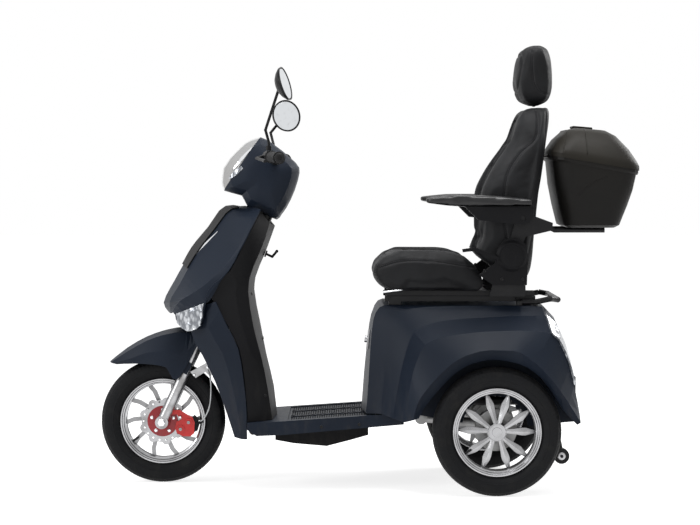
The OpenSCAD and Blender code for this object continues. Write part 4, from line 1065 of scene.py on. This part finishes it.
def socket_head(size, height):
    """A round socket screw head with its hexagon recess, looking along Z."""
    holder = turned(
        "socket_screw",
        [(size * 0.45, height * 0.4), (size * 0.5, height), (size * 0.9, height), (size, height * 0.85), (size, 0)],
        (0, 0, 0), (0, 0, 1), None, None, None, 12,
    )
    mesh = holder.data
    bpy.data.objects.remove(holder)
    return mesh


def plate(name, outline, y0, y1, material, body, round_off=0.0006):
    """A flat plate cut to an outline in X and Z, from one Y to another."""
    work = bmesh.new()
    corners = [work.verts.new((x, y0, z)) for x, z in outline]
    face = work.faces.new(corners)
    pushed = bmesh.ops.extrude_face_region(work, geom=[face])
    moved = [v for v in pushed["geom"] if isinstance(v, bmesh.types.BMVert)]
    bmesh.ops.translate(work, vec=(0, y1 - y0, 0), verts=moved)
    bmesh.ops.recalc_face_normals(work, faces=work.faces)
    mesh = bpy.data.meshes.new(name)
    work.to_mesh(mesh)
    work.free()
    piece = bpy.data.objects.new(name, mesh)
    scene.collection.objects.link(piece)
    eased(piece, 30, round_off)
    paint(piece, material)
    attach(piece, body)
    return piece


def ring_of(centre, radius, count, y, start=0.0):
    """Points on a circle round a wheel's axle, at one Y."""
    angles = [2 * math.pi * k / count + start for k in range(count)]
    return [(centre[0] + radius * math.cos(a), y, centre[2] + radius * math.sin(a)) for a in angles]


carrier_y = -0.0357
turned(
    "disc_carrier",
    [(0.014, 0), (0.050, 0), (0.050, 0.0022), (0.046, 0.0030), (0.026, 0.0030), (0.024, 0.0060), (0.014, 0.0060)],
    (front_axle[0], carrier_y, front_axle[2]), (0, -1, 0), red_deep, "front_wheel", "red_paint",
)
carrier_bolts = ring_of(front_axle, 0.037, 5, carrier_y - 0.0031, 0.3)
repeated(
    "carrier_bolts", hexagon_head(0.0052, 0.0042), carrier_bolts, [(0, -1, 0)] * 5, [(1, 0, 0)] * 5,
    chrome.material, "front_wheel",
)
for side, word in ((-1, "left"), (1, "right")):
    outward = (0, side, 0)
    foot = (front_axle[0], side * 0.0852, front_axle[2])
    turned("axle_washer_" + word, [(0.009, 0), (0.0155, 0), (0.0155, 0.0016), (0.009, 0.0016)],
           foot, outward, bare.material, "steering", "alloy")
    turned("axle_nut_" + word, [(0.0084, 0.0016), (0.0125, 0.0016), (0.0125, 0.0078), (0.0105, 0.0092), (0.0084, 0.0092)],
           foot, outward, chrome.material, "steering", "alloy", 6)
plate(
    "cable_bracket", [(-0.578, 0.366), (-0.524, 0.396), (-0.505, 0.362), (-0.512, 0.350), (-0.528, 0.366), (-0.560, 0.346)],
    -0.068, -0.071, bare.material, "steering",
)
cable_finish = Finish("cable_grey", (0.42, 0.43, 0.44), 0.35, Metallic=0.6)
braid = (cable_finish.axis("Z") * 3800.0).wave() * 0.5 + 0.5
soot = cable_finish.noise(40.0, 3.0)
cable_finish.feed("Base Color", cable_finish.blend((0.46, 0.47, 0.48), (0.20, 0.20, 0.20), soot.step(0.4, 0.8)))
cable_finish.feed("Roughness", 0.28 + soot * 0.2)
cable_finish.relief(braid, 0.4, 0.0004)
bar_along(
    "brake_cable",
    [(-0.520, -0.0735, 0.372), (-0.512, -0.0735, 0.345), (-0.510, -0.072, 0.300), (-0.516, -0.066, 0.251)]
    + [(-0.534, -0.054, 0.213), (-0.553, -0.048, 0.198)],
    0.0026, cable_finish.material, "steering",
)
turned("cable_end", [(0.001, 0), (0.0048, 0), (0.0048, 0.014), (0.0036, 0.020), (0.001, 0.020)],
       (-0.560, -0.0475, 0.195), (0.75, -0.1, 0.25), black_plastic, "steering", "black_plastic", 16)
caliper_screws = [(-0.611, -0.0520, 0.177), (-0.585, -0.0520, 0.199)]
repeated("caliper_screws", socket_head(0.0052, 0.004), caliper_screws, [(0, -1, 0)] * 2, [(1, 0, 0)] * 2,
         bare.material, "steering")

plate(
    "caliper_bridge", [(-0.577, 0.214), (-0.566, 0.222), (-0.556, 0.212), (-0.551, 0.190), (-0.556, 0.172), (-0.568, 0.166), (-0.566, 0.190)],
    -0.0290, -0.0455, black_plastic, "steering",
)
bracket_bolts = [(-0.565, -0.0711, 0.357), (-0.521, -0.0711, 0.381), (-0.612, -0.0530, 0.217)]
repeated("bracket_bolts", hexagon_head(0.0040, 0.0034), bracket_bolts, [(0, -1, 0)] * 3, [(1, 0, 0)] * 3,
         chrome.material, "steering")

# Wheel valves
# A short rubber valve with a cap stands inside the rim of each wheel.
valve_side = {"front_tyre": -1, "tyre_left": -1, "tyre_right": 1}
valve_body = {"front_tyre": "front_wheel", "tyre_left": "rear_wheel_left", "tyre_right": "rear_wheel_right"}
for wheel, centre in wheel_centres.items():
    side = valve_side[wheel]
    angle = math.radians(214)
    inward = Vector((-math.cos(angle), 0.35 * side, -math.sin(angle)))
    root = (centre[0] + 0.1235 * math.cos(angle), centre[1] + side * 0.012, centre[2] + 0.1235 * math.sin(angle))
    turned(
        wheel + "_valve",
        [(0.001, 0), (0.0055, 0), (0.0040, 0.004), (0.0036, 0.016), (0.0042, 0.017), (0.0042, 0.026), (0.002, 0.0285)],
        root, inward, grip_rubber.material, valve_body[wheel], "rubber", 20,
    )

# Handlebar ends
# A small black weight closes each grip.
for side, word in ((-1, "left"), (1, "right")):
    along_bar = Vector((0.2514, 0.9677 * side, -0.0377)).normalized()
    end = Vector((-0.2792, 0.350 * side, 1.057))
    turned(
        "bar_end_" + word,
        [(0.004, 0), (0.0150, 0), (0.0165, 0.004), (0.0160, 0.010), (0.0120, 0.0125), (0.0060, 0.0125), (0.0050, 0.009)],
        end + along_bar * 0.0002, along_bar, coated.material, "steering", "black_metal",
    )

# Seat slide and recliner fittings
# A plated lever under the left front of the cushion frees the slide. The recliner covers are
# held by socket screws.
bar_along(
    "slide_lever",
    [(0.150, -0.186, 0.6405), (0.118, -0.205, 0.6405), (0.104, -0.236, 0.640), (0.078, -0.243, 0.638), (0.046, -0.243, 0.634)],
    0.0030, chrome.material, "seat", 14,
)
cover_face = 0.2613
for side, word in ((-1, "left"), (1, "right")):
    spots = [(x, side * cover_face, z) for x, z in ((0.366, 0.702), (0.420, 0.676), (0.486, 0.676), (0.484, 0.772))]
    repeated("cover_screws_" + word, socket_head(0.0052, 0.0032), spots, [(0, side, 0)] * 4, [(1, 0, 0)] * 4,
             coated.material, "seat")
    turned(
        "recliner_disc_" + word,
        [(0.002, 0), (0.0365, 0), (0.0365, 0.0012), (0.0345, 0.0022), (0.012, 0.0022), (0.011, 0.0014), (0.002, 0.0014)],
        (0.452, side * 0.2684, 0.749), (0, side, 0), black_plastic, "seat", "black_plastic", 64,
    )
for side, word in ((-1, "left"), (1, "right")):
    turned(
        "roller_hub_" + word, [(0.006, 0), (0.0125, 0), (0.0125, 0.002), (0.009, 0.003), (0.006, 0.003)],
        (0.620, side * 0.1622, 0.103), (0, side, 0), bare.material, "tip_wheel_" + word, "rubber",
    )

# Case lid details
# The lid carries moulded ribs across its dome and a low hump in the middle of its top. The
# tub's sides have one raised curved line.
lid_surface = surface_of("case_lid")


def over_lid(x, lean, low_angle, high_angle):
    """Points over the lid's outside at one X, leaning along X towards the middle."""
    found = []
    middle = Vector((x, 0, 1.035))
    for angle in np.radians(np.linspace(low_angle, high_angle, 61)):
        ray = Vector((lean * math.sin(angle), math.cos(angle), math.sin(angle)))
        hit, normal, index, distance = lid_surface.ray_cast(middle + ray * 0.6, -ray)
        if hit is not None:
            found.append(hit + normal * 0.0002)
    return found


bar_along("lid_rib_middle", over_lid(0.694, 0.0, 10, 170), 0.0017, lid_plastic, "lid", 10, 1.0, False)
bar_along("lid_rib_front", over_lid(0.606, 0.28, 10, 170), 0.0015, lid_plastic, "lid", 10, 1.0, False)
laid_strip(
    "lid_hump", lid_surface, [(0.662, 0.0), (0.694, 0.0), (0.728, 0.0)], [0.084, 0.104, 0.084], [0, 1], (0, 0, 1),
    0.0075, lid_plastic, "lid",
)
tub_surface = surface_of("case_tub")
mirrored_sides(
    "tub_line", tub_surface, [(0.7607, 1.000), (0.712, 0.978), (0.6635, 0.937)], [0.001, 0.0024, 0.001],
    0.0009, case_plastic, "backrest",
)

# Footboard grip
# Low round studs are moulded into the sunk tread between its chevrons.
tread = surface_of("footboard")
stud_work = bmesh.new()
bmesh.ops.create_uvsphere(stud_work, u_segments=10, v_segments=6, radius=0.0026)
bmesh.ops.scale(stud_work, vec=(1, 1, 0.45), verts=stud_work.verts)
stud = bpy.data.meshes.new("tread_stud")
stud_work.to_mesh(stud)
stud_work.free()
studs, stud_normals = [], []
for row in range(34):
    for column in range(27):
        x = -0.246 + row * 0.0075
        y = (column - 13) * 0.0148 + (0.0074 if row % 2 else 0.0)
        hit, normal, index, distance = tread.ray_cast(Vector((x, y, 0.26)), Vector((0, 0, -1)))
        corners = [
            tread.ray_cast(Vector((x + dx, y + dy, 0.26)), Vector((0, 0, -1)))[0]
            for dx, dy in ((0.004, 0), (-0.004, 0), (0, 0.004), (0, -0.004))
        ]
        if hit is None or None in corners or normal.z < 0.95:
            continue
        level = all(abs(c.z - hit.z) < 0.0008 for c in corners)
        if level and abs(y) < 0.198:
            studs.append(hit)
            stud_normals.append(normal)
repeated("tread_studs", stud, studs, stud_normals, [(1, 0, 0)] * len(studs), black_plastic, "chassis")

# Panel screws
# Black socket screws hold the inner panels and the seat rails.
body_surface = surface_of("knee_panel", "leg_shield", "rear_body", "slide_rails", "footboard")
screw_rays = []
for side in (-1, 1):
    for x, z in ((-0.330, 0.300), (-0.345, 0.470)):
        screw_rays.append(((x, side * 0.6, z), (0, -side, 0)))
    for x, z in ((0.066, 0.611), (0.470, 0.611), (-0.150, 0.205), (-0.030, 0.213)):
        screw_rays.append(((x, side * 0.6, z), (0, -side, 0)))
    for y, z in ((0.110, 0.330), (0.085, 0.620)):
        screw_rays.append(((0.3, side * y, z), (-1, 0, 0)))
screws, screw_out = [], []
for origin, way in screw_rays:
    hit, normal, index, distance = body_surface.ray_cast(Vector(origin), Vector(way))
    if hit is not None:
        screws.append(hit)
        screw_out.append(normal)
repeated("panel_screws", socket_head(0.0050, 0.0022), screws, screw_out, [(0, 0, 1)] * len(screws),
         coated.material, "chassis")
